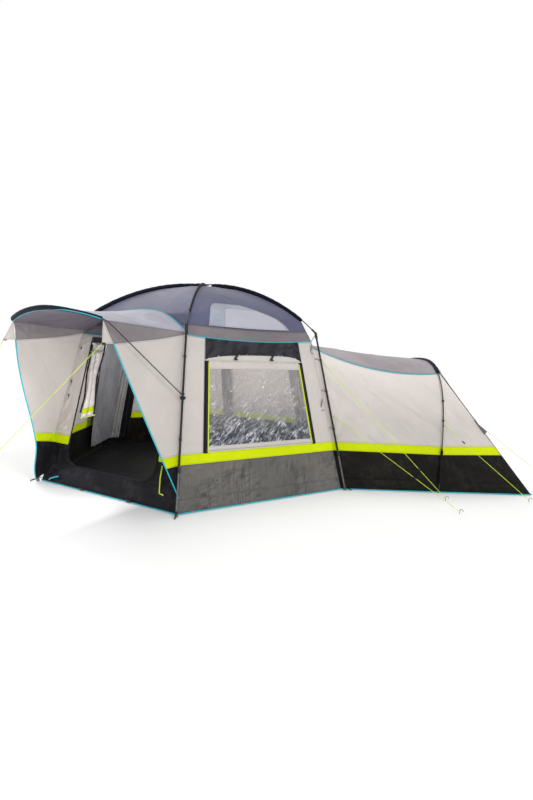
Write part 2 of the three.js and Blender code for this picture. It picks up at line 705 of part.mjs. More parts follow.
// A hooked peg head: a short upright rod with an arm that points away from the tent.
function addPeg(name, place, away) {
  const bend = 5;
  const reach = 26;
  const route = [
    [0, 0.5],
    [0, PEG_HEIGHT - bend],
    [bend, PEG_HEIGHT],
    [reach - bend, PEG_HEIGHT],
    [reach, PEG_HEIGHT - bend],
    [reach, PEG_HEIGHT - 18],
  ];
  const points = route.map(([out, z]) => new THREE.Vector3(place[0], place[1], z).addScaledVector(away, out));
  add("peg_" + name, bentRod(points, PEG_ROD, 12), material(COLORS.zinc, 0.4, 0.8));
}

// The runner is a short plastic tube that slides on its line.
function addRunner(name, centre, way) {
  const half = 17;
  const bore = CORD_RADIUS + 0.45;
  const profile = [
    [bore, -half],
    [7, -half],
    [5, 0],
    [7, half],
    [bore, half],
    [bore, -half],
  ].map(([x, y]) => new THREE.Vector2(x, y));
  const runner = add("runner_" + name, new THREE.LatheGeometry(profile, 12), material(COLORS.plastic, 0.5));
  runner.quaternion.setFromUnitVectors(new THREE.Vector3(0, 1, 0), way);
  runner.position.copy(centre);
}

for (const [name, guy] of Object.entries(GUYS)) {
  const away = new THREE.Vector3(guy.peg[0] - guy.from.x, guy.peg[1] - guy.from.y, 0).normalize();
  const pegPoint = new THREE.Vector3(guy.peg[0], guy.peg[1], 24);
  const to = pegPoint.addScaledVector(away, -(PEG_ROD + CORD_RADIUS + 1));
  add("guy_" + name, rod(guy.from, to, CORD_RADIUS, 8), material(COLORS.lime, 0.7));
  addPeg(name, guy.peg, away);
  if (guy.runner) {
    const way = to.clone().sub(guy.from).normalize();
    addRunner(name, guy.from.clone().lerp(to, guy.runner), way);
  }
}

export default tent;
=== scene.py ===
"""The looks of a hexagonal dome tent with a porch canopy and a tunnel pod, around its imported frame.

Metres, +Z up, +X towards the pod, origin on the ground under the middle of the dome.
A cloth piece is a grid bent onto a surface at(u, v), with creases, seams and a real thickness.
"""

import json
import math
import random

import bpy
import numpy as np
from mathutils import Matrix, Vector

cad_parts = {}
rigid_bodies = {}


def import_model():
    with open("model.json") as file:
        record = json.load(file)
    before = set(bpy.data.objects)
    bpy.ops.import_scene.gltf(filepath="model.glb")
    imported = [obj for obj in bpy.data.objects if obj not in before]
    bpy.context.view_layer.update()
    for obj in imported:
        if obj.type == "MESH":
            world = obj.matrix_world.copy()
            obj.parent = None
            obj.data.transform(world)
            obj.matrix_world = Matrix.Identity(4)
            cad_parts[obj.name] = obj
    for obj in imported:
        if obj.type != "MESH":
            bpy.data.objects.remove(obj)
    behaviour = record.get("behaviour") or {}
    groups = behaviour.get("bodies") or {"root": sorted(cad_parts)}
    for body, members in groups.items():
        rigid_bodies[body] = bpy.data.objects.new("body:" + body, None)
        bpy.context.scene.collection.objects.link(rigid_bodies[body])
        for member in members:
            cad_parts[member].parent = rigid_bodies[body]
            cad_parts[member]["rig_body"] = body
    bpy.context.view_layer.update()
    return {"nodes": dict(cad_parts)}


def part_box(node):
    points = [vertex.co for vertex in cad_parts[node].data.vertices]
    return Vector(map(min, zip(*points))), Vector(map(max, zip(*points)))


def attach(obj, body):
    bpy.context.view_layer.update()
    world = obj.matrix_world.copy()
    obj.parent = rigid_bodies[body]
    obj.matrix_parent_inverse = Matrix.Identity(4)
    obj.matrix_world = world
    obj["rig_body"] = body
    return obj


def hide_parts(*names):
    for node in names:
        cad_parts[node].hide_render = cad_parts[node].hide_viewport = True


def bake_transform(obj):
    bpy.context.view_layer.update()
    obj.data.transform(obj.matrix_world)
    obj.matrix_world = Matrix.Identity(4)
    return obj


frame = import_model()
nodes = frame["nodes"]


def low(node):
    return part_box(node)[0]


def high(node):
    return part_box(node)[1]


def middle(node):
    return (low(node) + high(node)) / 2


# ---- Driving sizes ----
HALF_SECTOR = math.pi / 6
POLE_ROD = 0.0055
POLE_STACK = 0.012
LEG_TUBE = 0.0095
LEG_FOOT_RADIUS = 1.819
ELBOW_RADIUS = 1.407
ELBOW_Z = 1.595
PEAK_Z = high("roof_pole_c").z - POLE_ROD
ROOF_BELOW_POLE = 0.014

WALL_FOOT_RADIUS = high("groundsheet_dome").y + 0.005
WALL_LEAN = 0.275
EAVE_Z = 1.510
EAVE_SAG = 0.035
EAVE_RADIUS = WALL_FOOT_RADIUS - WALL_LEAN * EAVE_Z
SLEEVE_END_RADIUS = 1.240
SLEEVE_SHARE = 7 / 9
PEAK_GAP_RADIUS = 0.024
BAND_SHARE = 0.893

WALL_FOOT_Z = 0.004
MUD_TOP = 0.397
LIME_TOP = 0.484

WINDOW_BOTTOM = 0.497
WINDOW_TOP = 1.285
WINDOW_SIDE = 0.70
PANE_BOTTOM = low("window_pane").z
PANE_TOP = high("window_pane").z
FILM_SIDE = 0.681
VENT_BOTTOM = 1.300

DOOR_BOTTOM = 0.205
DOOR_TOP = 1.420
DOOR_BOTTOM_HALF = 0.595
DOOR_TOP_HALF = 0.520
DOOR_CORNER = 0.170

CANOPY_PIVOT_Z = middle("canopy_hub_right").z
CANOPY_CORNER_OUT = 2.010
CANOPY_CORNER_SIDE = 0.551
CANOPY_CORNER_Z = 1.589
CANOPY_RISE = 0.112

POD_HOOP_X = middle("pod_hoop").x
HOOP_OUTSIDE = 0.012
HOOP_RISE = 0.010
POD_HALF = high("pod_hoop").y - HOOP_OUTSIDE - POLE_ROD
POD_TOP = 1.362
POD_TAIL_X = high("groundsheet_pod").x + 0.012
POD_TAIL_HALF = 0.910
POD_SHOULDER_SIDE = 0.648
POD_SAG = 0.090
POD_HOOP_SHARE = 0.62
POD_INSIDE = (2.4, 0.0, 0.4)

CORNER_NAMES = ("front_left", "front_right", "pod_right", "pod_left", "back_right", "back_left")
FACE_NAMES = ("door", "window", "pod", "rear_right", "rear", "rear_left")
CORNERS = {name: math.radians(60 * i - 150) for i, name in enumerate(CORNER_NAMES)}
FACES = {name: math.radians(60 * i - 120) for i, name in enumerate(FACE_NAMES)}
POLES_ABOVE = (2, 1, 0)
CORNER_PEAK = {name: PEAK_Z - POLES_ABOVE[i % 3] * POLE_STACK for i, name in enumerate(CORNER_NAMES)}


# ---- Surfaces of the tent ----
def mix(a, b, t):
    return a + (b - a) * t


def smooth(t):
    t = np.clip(t, 0, 1)
    return t * t * (3 - 2 * t)


def at_face(face, out, side, z):
    """A point from its distance out along a face's normal, its distance sideways, and its height."""
    out, side, z = np.broadcast_arrays(out, side, z)
    x = out * math.cos(face) - side * math.sin(face)
    y = out * math.sin(face) + side * math.cos(face)
    return np.stack((x, y, z), -1)


def polar(radius, angle, z):
    return at_face(angle, radius, 0.0, z)


def wall_out(z):
    return (WALL_FOOT_RADIUS - WALL_LEAN * z) * math.cos(HALF_SECTOR)


def wall_half(z):
    return (WALL_FOOT_RADIUS - WALL_LEAN * z) * math.sin(HALF_SECTOR)


def wall(face, share, z, lift=0.0):
    """A point on a wall: share runs from -1 at its right corner to 1, and lift is how far it stands proud."""
    return at_face(face, wall_out(z) + lift, share * wall_half(z), z + 0.24 * lift)


def eave_z(share):
    return EAVE_Z - 0.004 - EAVE_SAG * (1 - share * share)


def leg_point(angle, z, outwards=0.0):
    radius = mix(LEG_FOOT_RADIUS, ELBOW_RADIUS, z / ELBOW_Z)
    return polar(radius + outwards, angle, z)


def pole_arc(peak):
    drop = peak - ELBOW_Z
    radius = (ELBOW_RADIUS**2 + drop**2) / (2 * drop)
    return radius, peak - radius


def pole_point(corner, radius, lift=0.0):
    """A point over a roof pole, at its distance from the tent's axis."""
    arc, centre = pole_arc(CORNER_PEAK[corner])
    bend = np.arcsin(radius / arc)
    return polar((arc + lift) * np.sin(bend), CORNERS[corner], centre + (arc + lift) * np.cos(bend))


ROOF_ARC, ROOF_CENTRE = pole_arc(PEAK_Z - 2 * POLE_STACK)
ROOF_ARC -= ROOF_BELOW_POLE


def roof_edge(share):
    """The roof's radius, height and share of the band below, under a pole and then down to the eave."""
    sleeve_end = math.asin(SLEEVE_END_RADIUS / ROOF_ARC)
    bend = mix(PEAK_GAP_RADIUS / ROOF_ARC, sleeve_end, np.minimum(share / SLEEVE_SHARE, 1))
    below = np.maximum(0, (share - SLEEVE_SHARE) / (1 - SLEEVE_SHARE))
    radius = mix(ROOF_ARC * np.sin(bend), EAVE_RADIUS, below)
    z = mix(ROOF_CENTRE + ROOF_ARC * np.cos(bend), EAVE_Z, below)
    return radius, z, below


def gore(face, across, share, lift=0.0):
    radius, z, below = roof_edge(share)
    sag = EAVE_SAG * (1 - across**2) * below
    half = radius * math.sin(HALF_SECTOR)
    return at_face(face, radius * math.cos(HALF_SECTOR) + 0.6 * lift, half * across, z - sag + 0.8 * lift)


PIVOT_RADIUS = mix(LEG_FOOT_RADIUS, ELBOW_RADIUS, CANOPY_PIVOT_Z / ELBOW_Z)
PIVOT_OUT = PIVOT_RADIUS * math.cos(HALF_SECTOR)
BOW_TILT = math.atan2(CANOPY_CORNER_Z - CANOPY_PIVOT_Z, CANOPY_CORNER_OUT - PIVOT_OUT)
CORNER_REACH = math.hypot(CANOPY_CORNER_Z - CANOPY_PIVOT_Z, CANOPY_CORNER_OUT - PIVOT_OUT)


def at_door(out, side, z):
    return at_face(FACES["door"], out, side, z)


def bow_point(reach, side, lift=0.0):
    """A point on the canopy bow's tilted plane; lift is square to that plane."""
    out = PIVOT_OUT + reach * math.cos(BOW_TILT) - lift * math.sin(BOW_TILT)
    return at_door(out, side, CANOPY_PIVOT_Z + reach * math.sin(BOW_TILT) + lift * math.cos(BOW_TILT))


def front_arch(share):
    return CORNER_REACH + CANOPY_RISE * (1 - share**2)


def canopy_seam(side):
    share = mix(0.735, 0.98, np.abs(side) ** 2.6)
    return gore(FACES["door"], side * 0.985, share) + at_door(0.005, 0.0, 0.007)


def canopy(forward, side):
    """The canopy's top: forward runs from its seam on the roof to the bow."""
    front = bow_point(front_arch(side) - 0.012, side * CANOPY_CORNER_SIDE)
    front[..., 2] -= 0.005
    forward = np.asarray(forward)[..., None]
    point = mix(canopy_seam(side), front, forward)
    point[..., 2] -= 0.018 * np.sin(math.pi * forward[..., 0]) * (1 - side**2)
    return point


GUSSET_SHARE = 0.13
WING_FOOT_Z = 0.070
WING_TOP_BLEND = 0.06
LIMP_INWARD = 0.130
# Places of the right (1) and left (-1) wing's free edge as distance out, sideways and height.
WING_CORNER = np.array((CANOPY_CORNER_OUT - 0.014, CANOPY_CORNER_SIDE - 0.016, CANOPY_CORNER_Z - 0.014))
WING_GUSSET = {1: np.array((1.924, 0.576, 1.400)), -1: np.array((1.955, 0.600, 1.412))}
WING_HEM_FOOT = {1: np.array((1.512, 0.883, 0.135)), -1: np.array((1.602, 0.900, 0.030))}
WING_BOW = {1: 0.009, -1: 0.035}


def wing_back(hand, down):
    """The wing's sewn edge, down the dome's corner."""
    z = mix(EAVE_Z, WING_FOOT_Z, down)
    return at_door(wall_out(z) - 0.001, hand * wall_half(z), z)


def wing_front(hand, down):
    """The wing's free edge, past the gusset to its foot. The left wing hangs slack and bends inwards."""
    above = np.minimum(down / GUSSET_SHARE, 1)[..., None]
    below = np.maximum(0, (down - GUSSET_SHARE) / (1 - GUSSET_SHARE))[..., None]
    upper = mix(WING_CORNER, WING_GUSSET[hand], above)
    out, side, z = np.moveaxis(mix(upper, WING_HEM_FOOT[hand], below), -1, 0)
    below = below[..., 0]
    out = out + WING_BOW[hand] * np.sin(math.pi * below) ** 1.2
    if hand < 0:
        side = side - LIMP_INWARD * smooth((below - 0.05) / 0.60) * (1 - smooth((below - 0.68) / 0.30))
    return at_door(out, hand * side, z)


def wing(hand, down, forward):
    """The canopy's side wall: down from the canopy to the ground, forward from the dome to the free edge."""
    down, forward = np.broadcast_arrays(np.asarray(down, float), np.asarray(forward, float))
    point = mix(wing_back(hand, down), wing_front(hand, down), forward[..., None])
    top = mix(wing_back(hand, 0 * down), wing_front(hand, 0 * down), forward[..., None])
    sewn_top = canopy(forward, hand * np.ones_like(forward))
    return point + (sewn_top - top) * np.maximum(0, 1 - down / WING_TOP_BLEND)[..., None]


def wing_down(hand, forward, z):
    """How far down the wing a height lies, at each place forward along it."""
    downs = np.linspace(0, 1, 120)
    heights = wing(hand, downs[:, None], np.asarray(forward).ravel()[None, :])[..., 2]
    levels = np.broadcast_to(z, np.shape(forward)).ravel()
    found = [np.interp(-level, -heights[:, i], downs) for i, level in enumerate(levels)]
    return np.array(found).reshape(np.shape(forward))


POD_SHOULDER_Z = POD_TOP * (1 - (POD_SHOULDER_SIDE / POD_HALF) ** 3) ** 0.25
POD_FRONT_LAP = 0.001
POD_FRONT_SHOULDER = 1.440
POD_FRONT_RIDGE = 1.488


def pod_side(hand, along, height):
    """The pod's side: along from the dome to the tail, height from the ground to the roof's shoulder."""
    front_z = height * POD_FRONT_SHOULDER
    front = (wall_out(front_z), wall_half(front_z) + POD_FRONT_LAP, front_z)
    hoop_z = height * POD_SHOULDER_Z
    hoop = (POD_HOOP_X, POD_HALF * (1 - (hoop_z / POD_TOP) ** 4) ** (1 / 3), hoop_z)
    tail = (
        mix(POD_TAIL_X, POD_HOOP_X + 0.024, height),
        mix(POD_TAIL_HALF, POD_SHOULDER_SIDE - 0.004, height),
        hoop_z,
    )
    before = np.clip(along / POD_HOOP_SHARE, 0, 1)
    after = np.clip((along - POD_HOOP_SHARE) / (1 - POD_HOOP_SHARE), 0, 1)
    x, side, z = (mix(mix(a, b, before), c, after) for a, b, c in zip(front, hoop, tail))
    sag = POD_SAG * 4 * before * (1 - before) * height
    x, side, z = np.broadcast_arrays(x, side, z - sag)
    return np.stack((x, hand * side, z), -1)


def pod_side_at(hand, along, z):
    """The pod's side at a real height instead of a share of it."""
    height = np.asarray(z / POD_SHOULDER_Z, float)
    for _ in range(12):
        height = height + (z - pod_side(hand, along, height)[..., 2]) / POD_SHOULDER_Z
    return pod_side(hand, along, height)


def pod_roof(along, across):
    edge = pod_side(1, along * POD_HOOP_SHARE, np.ones_like(along))
    ridge = mix(POD_FRONT_RIDGE, POD_TOP, along) - 0.012 * np.sin(math.pi * along)
    crown = (1 - np.abs(across) ** 3) ** 0.8
    z = mix(edge[..., 2] + 0.003, ridge, crown)
    return np.stack((edge[..., 0], across * (edge[..., 1] - 0.004), z), -1)


def pod_end(across, height):
    top = POD_SHOULDER_SIDE - 0.010
    arch = POD_TOP * (1 - (np.abs(across * top) / POD_HALF) ** 3) ** 0.25
    x = mix(POD_TAIL_X + 0.006, POD_HOOP_X + 0.034, height)
    side = across * mix(POD_TAIL_HALF - 0.006, top, height)
    x, side, z = np.broadcast_arrays(x, side, height * arch)
    return np.stack((x, side, z), -1)


def hoop_point(angle):
    """A point on the pod's hoop, by its angle from the right foot (0) over the top to the left foot (pi)."""
    side = -np.sign(np.cos(angle)) * (POD_HALF + HOOP_OUTSIDE) * np.abs(np.cos(angle)) ** (2 / 3)
    z = (POD_TOP + HOOP_RISE) * np.sin(angle) ** 0.5
    return np.stack(np.broadcast_arrays(POD_HOOP_X, side, z), -1)


# ---- Camera, floor and light ----
CAMERA_PLACE = Vector((0.647, -5.466, 1.362))
CAMERA_YAW = 0.0194
CAMERA_PITCH = -0.1248
CAMERA_ROLL = 0.0348
SENSOR = 36.0
LENS = 20.48
SHIFT_Y = 0.0143


def add_camera():
    level_reach = math.cos(CAMERA_PITCH)
    forward = Vector(
        (math.sin(CAMERA_YAW) * level_reach, math.cos(CAMERA_YAW) * level_reach, math.sin(CAMERA_PITCH))
    )
    level = Vector((math.cos(CAMERA_YAW), -math.sin(CAMERA_YAW), 0))
    upright = level.cross(forward)
    right = level * math.cos(CAMERA_ROLL) + upright * math.sin(CAMERA_ROLL)
    up = upright * math.cos(CAMERA_ROLL) - level * math.sin(CAMERA_ROLL)
    data = bpy.data.cameras.new("camera")
    data.sensor_width = SENSOR
    data.lens = LENS
    data.shift_y = SHIFT_Y
    data.clip_end = 200
    camera = bpy.data.objects.new("camera", data)
    turned = Matrix((right, up, -forward)).transposed().to_4x4()
    camera.matrix_world = Matrix.Translation(CAMERA_PLACE) @ turned
    bpy.context.collection.objects.link(camera)
    bpy.context.scene.camera = camera


SKY_LIGHT = 0.55
# Each sun's direction, strength and softness in degrees.
SUNS = {
    "key": ((-0.55, 0.62, -0.58), 0.85, 14),
    "front": ((-0.20, 0.95, -0.24), 0.42, 25),
    "high": ((0.25, -0.20, -1.0), 0.85, 40),
    "back": ((0.55, -0.75, -0.50), 0.60, 40),
}
INNER_GLOW = 44
INNER_GLOW_PLACE = (0.0, 0.0, 1.15)
INNER_GLOW_SIZE = 0.45
PORCH_GLOW = 9.5
PORCH_GLOW_PLACE = at_door(1.62, 0.50, 0.78)
PORCH_GLOW_SIZE = 0.9
FLOOR_SIDE = 400
FLOOR_Z = -0.004
FLOOR_WHITE = (0.99, 0.99, 0.99)
FLOOR_GLOW = 0.06


def add_light(name, kind, power, towards=(0, 0, -1), place=(0, 0, 0)):
    """A light that shines towards a direction and that the camera doesn't see."""
    data = bpy.data.lights.new(name, kind)
    data.energy = power
    light = bpy.data.objects.new(name, data)
    light.location = place
    light.rotation_euler = Vector(towards).to_track_quat("-Z", "Y").to_euler()
    light.visible_camera = False
    bpy.context.collection.objects.link(light)
    return data


def add_studio():
    """A white backdrop that lights the tent softly from all sides, with broad suns to model the folds."""
    world = bpy.data.worlds.new("studio")
    world.use_nodes = True
    tree = world.node_tree
    background = tree.nodes["Background"]
    background.inputs["Color"].default_value = (1, 1, 1, 1)
    strength = tree.nodes.new("ShaderNodeMapRange")
    strength.inputs["To Min"].default_value = SKY_LIGHT
    strength.inputs["To Max"].default_value = 1.0
    tree.links.new(tree.nodes.new("ShaderNodeLightPath").outputs["Is Camera Ray"], strength.inputs["Value"])
    tree.links.new(strength.outputs["Result"], background.inputs["Strength"])
    bpy.context.scene.world = world
    bpy.context.scene.view_settings.view_transform = "Standard"
    for name, (towards, power, softness) in SUNS.items():
        add_light(name, "SUN", power, towards).angle = math.radians(softness)
    add_light("inner_glow", "POINT", INNER_GLOW, place=INNER_GLOW_PLACE).shadow_soft_size = INNER_GLOW_SIZE
    to_left_wing = at_door(0.0, -1.0, 0.0)
    add_light("porch_glow", "AREA", PORCH_GLOW, to_left_wing, PORCH_GLOW_PLACE).size = PORCH_GLOW_SIZE
    bpy.ops.mesh.primitive_plane_add(size=FLOOR_SIDE, location=(0, 0, FLOOR_Z))
    floor = bpy.context.object
    floor.name = "studio_floor"
    floor.data.materials.append(plain("floor", FLOOR_WHITE, 0.9, FLOOR_GLOW))


# ---- Materials ----
def linear(color):
    return tuple(c / 12.92 if c <= 0.04045 else ((c + 0.055) / 1.055) ** 2.4 for c in color) + (1.0,)


def shaded(color, factor):
    return tuple(min(1.0, c * factor) for c in color)


class Maker:
    """A material's node tree with short calls for the nodes that it is made of."""

    def __init__(self, name):
        self.material = bpy.data.materials.new(name)
        self.material.use_nodes = True
        self.tree = self.material.node_tree
        self.shader = self.tree.nodes["Principled BSDF"]

    def node(self, kind, **settings):
        made = self.tree.nodes.new(kind)
        for key, value in settings.items():
            setattr(made, key, value)
        return made

    def feed(self, node, **values):
        """Gives a node's sockets their values or joins outputs to them; None leaves a socket as it is."""
        for name, value in values.items():
            self.feed_socket(node.inputs[name], value)

    def feed_socket(self, socket, value):
        if isinstance(value, bpy.types.NodeSocket):
            self.tree.links.new(value, socket)
        elif value is not None:
            socket.default_value = value

    def set(self, name, value):
        self.feed_socket(self.shader.inputs[name], value)

    def math(self, operation, a, b=None, clamp=False):
        made = self.node("ShaderNodeMath", operation=operation, use_clamp=clamp)
        for socket, value in zip(made.inputs, (a, b)):
            self.feed_socket(socket, value)
        return made.outputs[0]

    def coordinates(self, scale=(1, 1, 1), turn=0.0, uv=True):
        """The flat cloth's place in metres, turned by an angle and then stretched."""
        place = self.node("ShaderNodeTexCoord").outputs["UV" if uv else "Object"]
        for name, value in (("Rotation", (0, 0, turn)), ("Scale", scale)):
            mapping = self.node("ShaderNodeMapping")
            self.feed(mapping, **{name: value, "Vector": place})
            place = mapping.outputs["Vector"]
        return place

    def part(self, vector, axis):
        """One of a vector's three numbers."""
        made = self.node("ShaderNodeSeparateXYZ")
        self.feed(made, Vector=vector)
        return made.outputs[axis]

    def noise(self, vector, scale, detail=3.0, roughness=0.55, distortion=0.0):
        made = self.node("ShaderNodeTexNoise")
        self.feed(
            made, Scale=scale, Detail=detail, Roughness=roughness, Distortion=distortion, Vector=vector
        )
        return made.outputs["Fac"]

    def wave(self, vector, period, direction):
        made = self.node("ShaderNodeTexWave", bands_direction=direction)
        self.feed(made, Scale=2 * math.pi / (20 * period), Vector=vector)
        return made.outputs["Fac"]

    def ramp(self, value, stops):
        made = self.node("ShaderNodeValToRGB")
        for stop, (place, color) in zip(made.color_ramp.elements, stops):
            stop.position = place
            stop.color = color
        for place, color in stops[2:]:
            made.color_ramp.elements.new(place).color = color
        self.feed(made, Fac=value)
        return made.outputs["Color"]

    def tones(self, value, color, *stops):
        """A color that darkens or brightens with a value: each stop is its place and its factor."""
        return self.ramp(value, [(place, linear(shaded(color, factor))) for place, factor in stops])

    def gloss(self, value, roughness, *stops):
        """Sets an uneven roughness: each stop is its place and how much it adds."""
        greys = [(place, (roughness + more,) * 3 + (1,)) for place, more in stops]
        self.set("Roughness", self.ramp(value, greys))

    def thin_lines(self, stretch, turn, scale, width, detail=3):
        """Thin lines where a stretched noise passes its middle value."""
        place = self.coordinates((1.0, stretch, 1), turn=turn)
        cloud = self.noise(place, scale, detail=detail, distortion=0.5)
        away = self.math("ABSOLUTE", self.math("SUBTRACT", cloud, 0.5))
        return self.math("SUBTRACT", 1.0, self.math("DIVIDE", away, width), clamp=True)

    def mix_color(self, factor, a, b):
        made = self.node("ShaderNodeMix", data_type="RGBA")
        for socket, value in ((made.inputs["Factor"], factor), (made.inputs[6], a), (made.inputs[7], b)):
            self.feed_socket(socket, value)
        return made.outputs[2]

    def bump(self, height, distance, below=None):
        made = self.node("ShaderNodeBump")
        self.feed(made, Distance=distance, Height=height, Normal=below)
        return made.outputs["Normal"]


def plain(name, color, roughness, glow):
    maker = Maker(name)
    maker.set("Base Color", linear(color))
    maker.set("Roughness", roughness)
    maker.set("Emission Color", linear(color))
    maker.set("Emission Strength", glow)
    return maker.material


def painted_fold_lines(maker, stretch, turn):
    """Thin lines in patches where creases lie in cloth, along which colour is painted as crease shade and
    highlight.
    """
    cloudy = maker.math("MULTIPLY", maker.noise(maker.coordinates(), 4.0), 4.0)
    patches = maker.math("SUBTRACT", cloudy, 1.6, clamp=True)
    return maker.math("MULTIPLY", maker.thin_lines(stretch, turn, 15.0, 0.06, detail=1.5), patches)


def cloth_material(
    name, color, roughness=0.75, crinkle=0.004, sheen=0.12, mottle=0.10, specular=0.3, rise=0.0, painted_fold_shading=0.0,
    painted_fold_tone=0.4,
):
    """Coated polyester: a fine weave with ripstop squares, soft crinkles, a stitched hem and uneven tone,
    plus optional painted light: a top painted lighter, and crease lines painted darker as shade or lighter as
    highlight.
    """
    maker = Maker(name)
    flat = maker.coordinates()
    uneven = maker.noise(flat, 2.2, detail=4)
    base = maker.tones(uneven, color, (0.3, 1 - mottle), (0.7, 1 + mottle))
    slub = maker.noise(maker.coordinates((60, 900, 1)), 1.0, detail=2)
    base = maker.mix_color(maker.math("MULTIPLY", slub, 0.12), base, linear(shaded(color, 0.8)))
    edge = maker.node("ShaderNodeAttribute", attribute_name="edge").outputs["Fac"]
    from_stitch = maker.math("ABSOLUTE", maker.math("SUBTRACT", edge, 0.009))
    stitch = maker.math("LESS_THAN", from_stitch, 0.0012)
    base = maker.mix_color(maker.math("MULTIPLY", stitch, 0.45), base, linear(shaded(color, 0.55)))
    # Painted top light: the colour is painted lighter towards the top of the panel, where more light falls.
    if rise:
        above = maker.math("SUBTRACT", maker.part(flat, "Y"), 0.25)
        share = maker.math("MULTIPLY", above, 1.5, clamp=True)
        base = maker.mix_color(share, base, linear(shaded(color, 1 + rise)))
    # Painted fold shading: along crease lines the colour is painted darker as painted shade, or lighter on
    # dark cloth as painted highlight.
    if painted_fold_shading:
        for stretch, turn, share in ((0.16, 0.25, 1.0), (0.20, 1.3, 0.7)):
            amount = maker.math("MULTIPLY", painted_fold_lines(maker, stretch, turn), painted_fold_shading * share)
            base = maker.mix_color(amount, base, linear(shaded(color, painted_fold_tone)))
    maker.set("Base Color", base)

    weave = maker.math("ADD", maker.wave(flat, 0.0016, "X"), maker.wave(flat, 0.0016, "Y"))
    squares = maker.math("MAXIMUM", maker.wave(flat, 0.008, "X"), maker.wave(flat, 0.008, "Y"))
    thread = maker.math("ADD", weave, maker.math("POWER", squares, 12.0))
    normal = maker.bump(thread, 0.00008)
    slanted = maker.coordinates((1.0, 0.35, 1), turn=0.5)
    crease = maker.noise(slanted, 22.0, detail=5, roughness=0.6, distortion=0.6)
    normal = maker.bump(crease, crinkle, normal)
    hem = maker.math("SUBTRACT", 1.0, maker.math("MULTIPLY", edge, 70.0, clamp=True), clamp=True)
    normal = maker.bump(hem, 0.0012, normal)
    maker.set("Normal", normal)

    maker.gloss(maker.noise(flat, 5.0), roughness, (0.3, -0.08), (0.7, 0.06))
    maker.set("Sheen Weight", sheen)
    maker.set("Sheen Roughness", 0.4)
    maker.set("Specular IOR Level", specular)
    return maker.material


def film_material(name, tint, clear, painted_glint_opacity):
    """Clear flexible film: glossy, with painted highlights as pale slanting crinkle lines, mostly low down,
    that stand in for glints of light.
    """
    maker = Maker(name)
    height = maker.part(maker.coordinates(), "Y")
    lower = maker.math("SUBTRACT", 1.25, maker.math("MULTIPLY", height, 2.6), clamp=True)
    cloud = maker.math("MULTIPLY", maker.noise(maker.coordinates(), 9.0), 2.4)
    cloudy = maker.math("SUBTRACT", cloud, 0.70, clamp=True)
    patches = maker.math("MAXIMUM", cloudy, maker.math("MULTIPLY", lower, 0.40))
    long_lines = maker.thin_lines(0.16, 0.85, 42.0, 0.065)
    short_lines = maker.thin_lines(0.30, 0.35, 60.0, 0.040)
    crinkle = maker.math("ADD", long_lines, maker.math("MULTIPLY", short_lines, 0.7), clamp=True)
    amount = maker.math("ADD", 0.24, maker.math("MULTIPLY", lower, 0.80))
    # Painted highlight: pale, more opaque lines along the crinkles, in place of glints of light.
    painted_glint = maker.math("MULTIPLY", maker.math("MULTIPLY", crinkle, patches), amount, clamp=True)
    veil = maker.math("ADD", clear, maker.math("MULTIPLY", lower, 0.20))
    alpha = maker.math("ADD", veil, maker.math("MULTIPLY", painted_glint, painted_glint_opacity), clamp=True)
    maker.set("Alpha", alpha)
    haze = maker.mix_color(lower, linear((0.90, 0.87, 0.86)), linear(tint))
    maker.set("Base Color", maker.mix_color(painted_glint, haze, linear((0.97, 0.97, 0.99))))
    maker.set("Normal", maker.bump(crinkle, 0.004))
    maker.set("Roughness", 0.16)
    maker.set("Specular IOR Level", 0.5)
    maker.set("Coat Weight", 0.25)
    return maker.material


def mesh_material(name, color):
    """Fine insect mesh: a dark open net with a cloudy crinkle, whose colour is painted darker and lighter
    with the crinkle as painted shade and highlight.
    """
    maker = Maker(name)
    flat = maker.coordinates()
    cloud = maker.noise(maker.coordinates((1, 0.5, 1), turn=0.9), 14.0, detail=5, distortion=0.8)
    # Painted shade and highlight: the colour follows the same cloud as the crinkle's bump.
    tone = maker.tones(cloud, color, (0.35, 0.6), (0.68, 1.5))
    maker.set("Base Color", tone)
    net = maker.math("MAXIMUM", maker.wave(flat, 0.002, "X"), maker.wave(flat, 0.002, "Y"))
    normal = maker.bump(net, 0.0003)
    maker.set("Normal", maker.bump(cloud, 0.008, normal))
    maker.set("Roughness", 0.5)
    maker.set("Specular IOR Level", 0.2)
    maker.set("Sheen Weight", 0.04)
    return maker.material


def rod_material(name, color, roughness, metallic=0.0, lower_color=None, lower_z=0.0):
    """A coated tube: scuffed and a little uneven; its lower section can be bare metal."""
    maker = Maker(name)
    place = maker.coordinates(uv=False)
    scuff = maker.noise(place, 60.0, detail=6, roughness=0.7)
    tone = maker.tones(scuff, color, (0.35, 0.8), (0.75, 1.35))
    if lower_color:
        is_low = maker.math("LESS_THAN", maker.part(place, "Z"), lower_z)
        bare = maker.tones(scuff, lower_color, (0.3, 0.8), (0.7, 1.15))
        tone = maker.mix_color(is_low, tone, bare)
    maker.set("Base Color", tone)
    maker.set("Normal", maker.bump(scuff, 0.0004))
    maker.gloss(scuff, roughness, (0.3, -0.08), (0.8, 0.15))
    maker.set("Metallic", metallic)
    return maker.material


def webbing_material(name, color, period=0.004):
    """Woven tape or braided cord: ribs across its length."""
    maker = Maker(name)
    flat = maker.coordinates()
    ribs = maker.math("ADD", maker.wave(flat, period, "DIAGONAL"), maker.noise(flat, 90.0))
    tone = maker.tones(ribs, color, (0.3, 0.78), (1.0, 1.08))
    maker.set("Base Color", tone)
    maker.set("Normal", maker.bump(ribs, 0.0004))
    maker.set("Roughness", 0.7)
    maker.set("Sheen Weight", 0.25)
    return maker.material


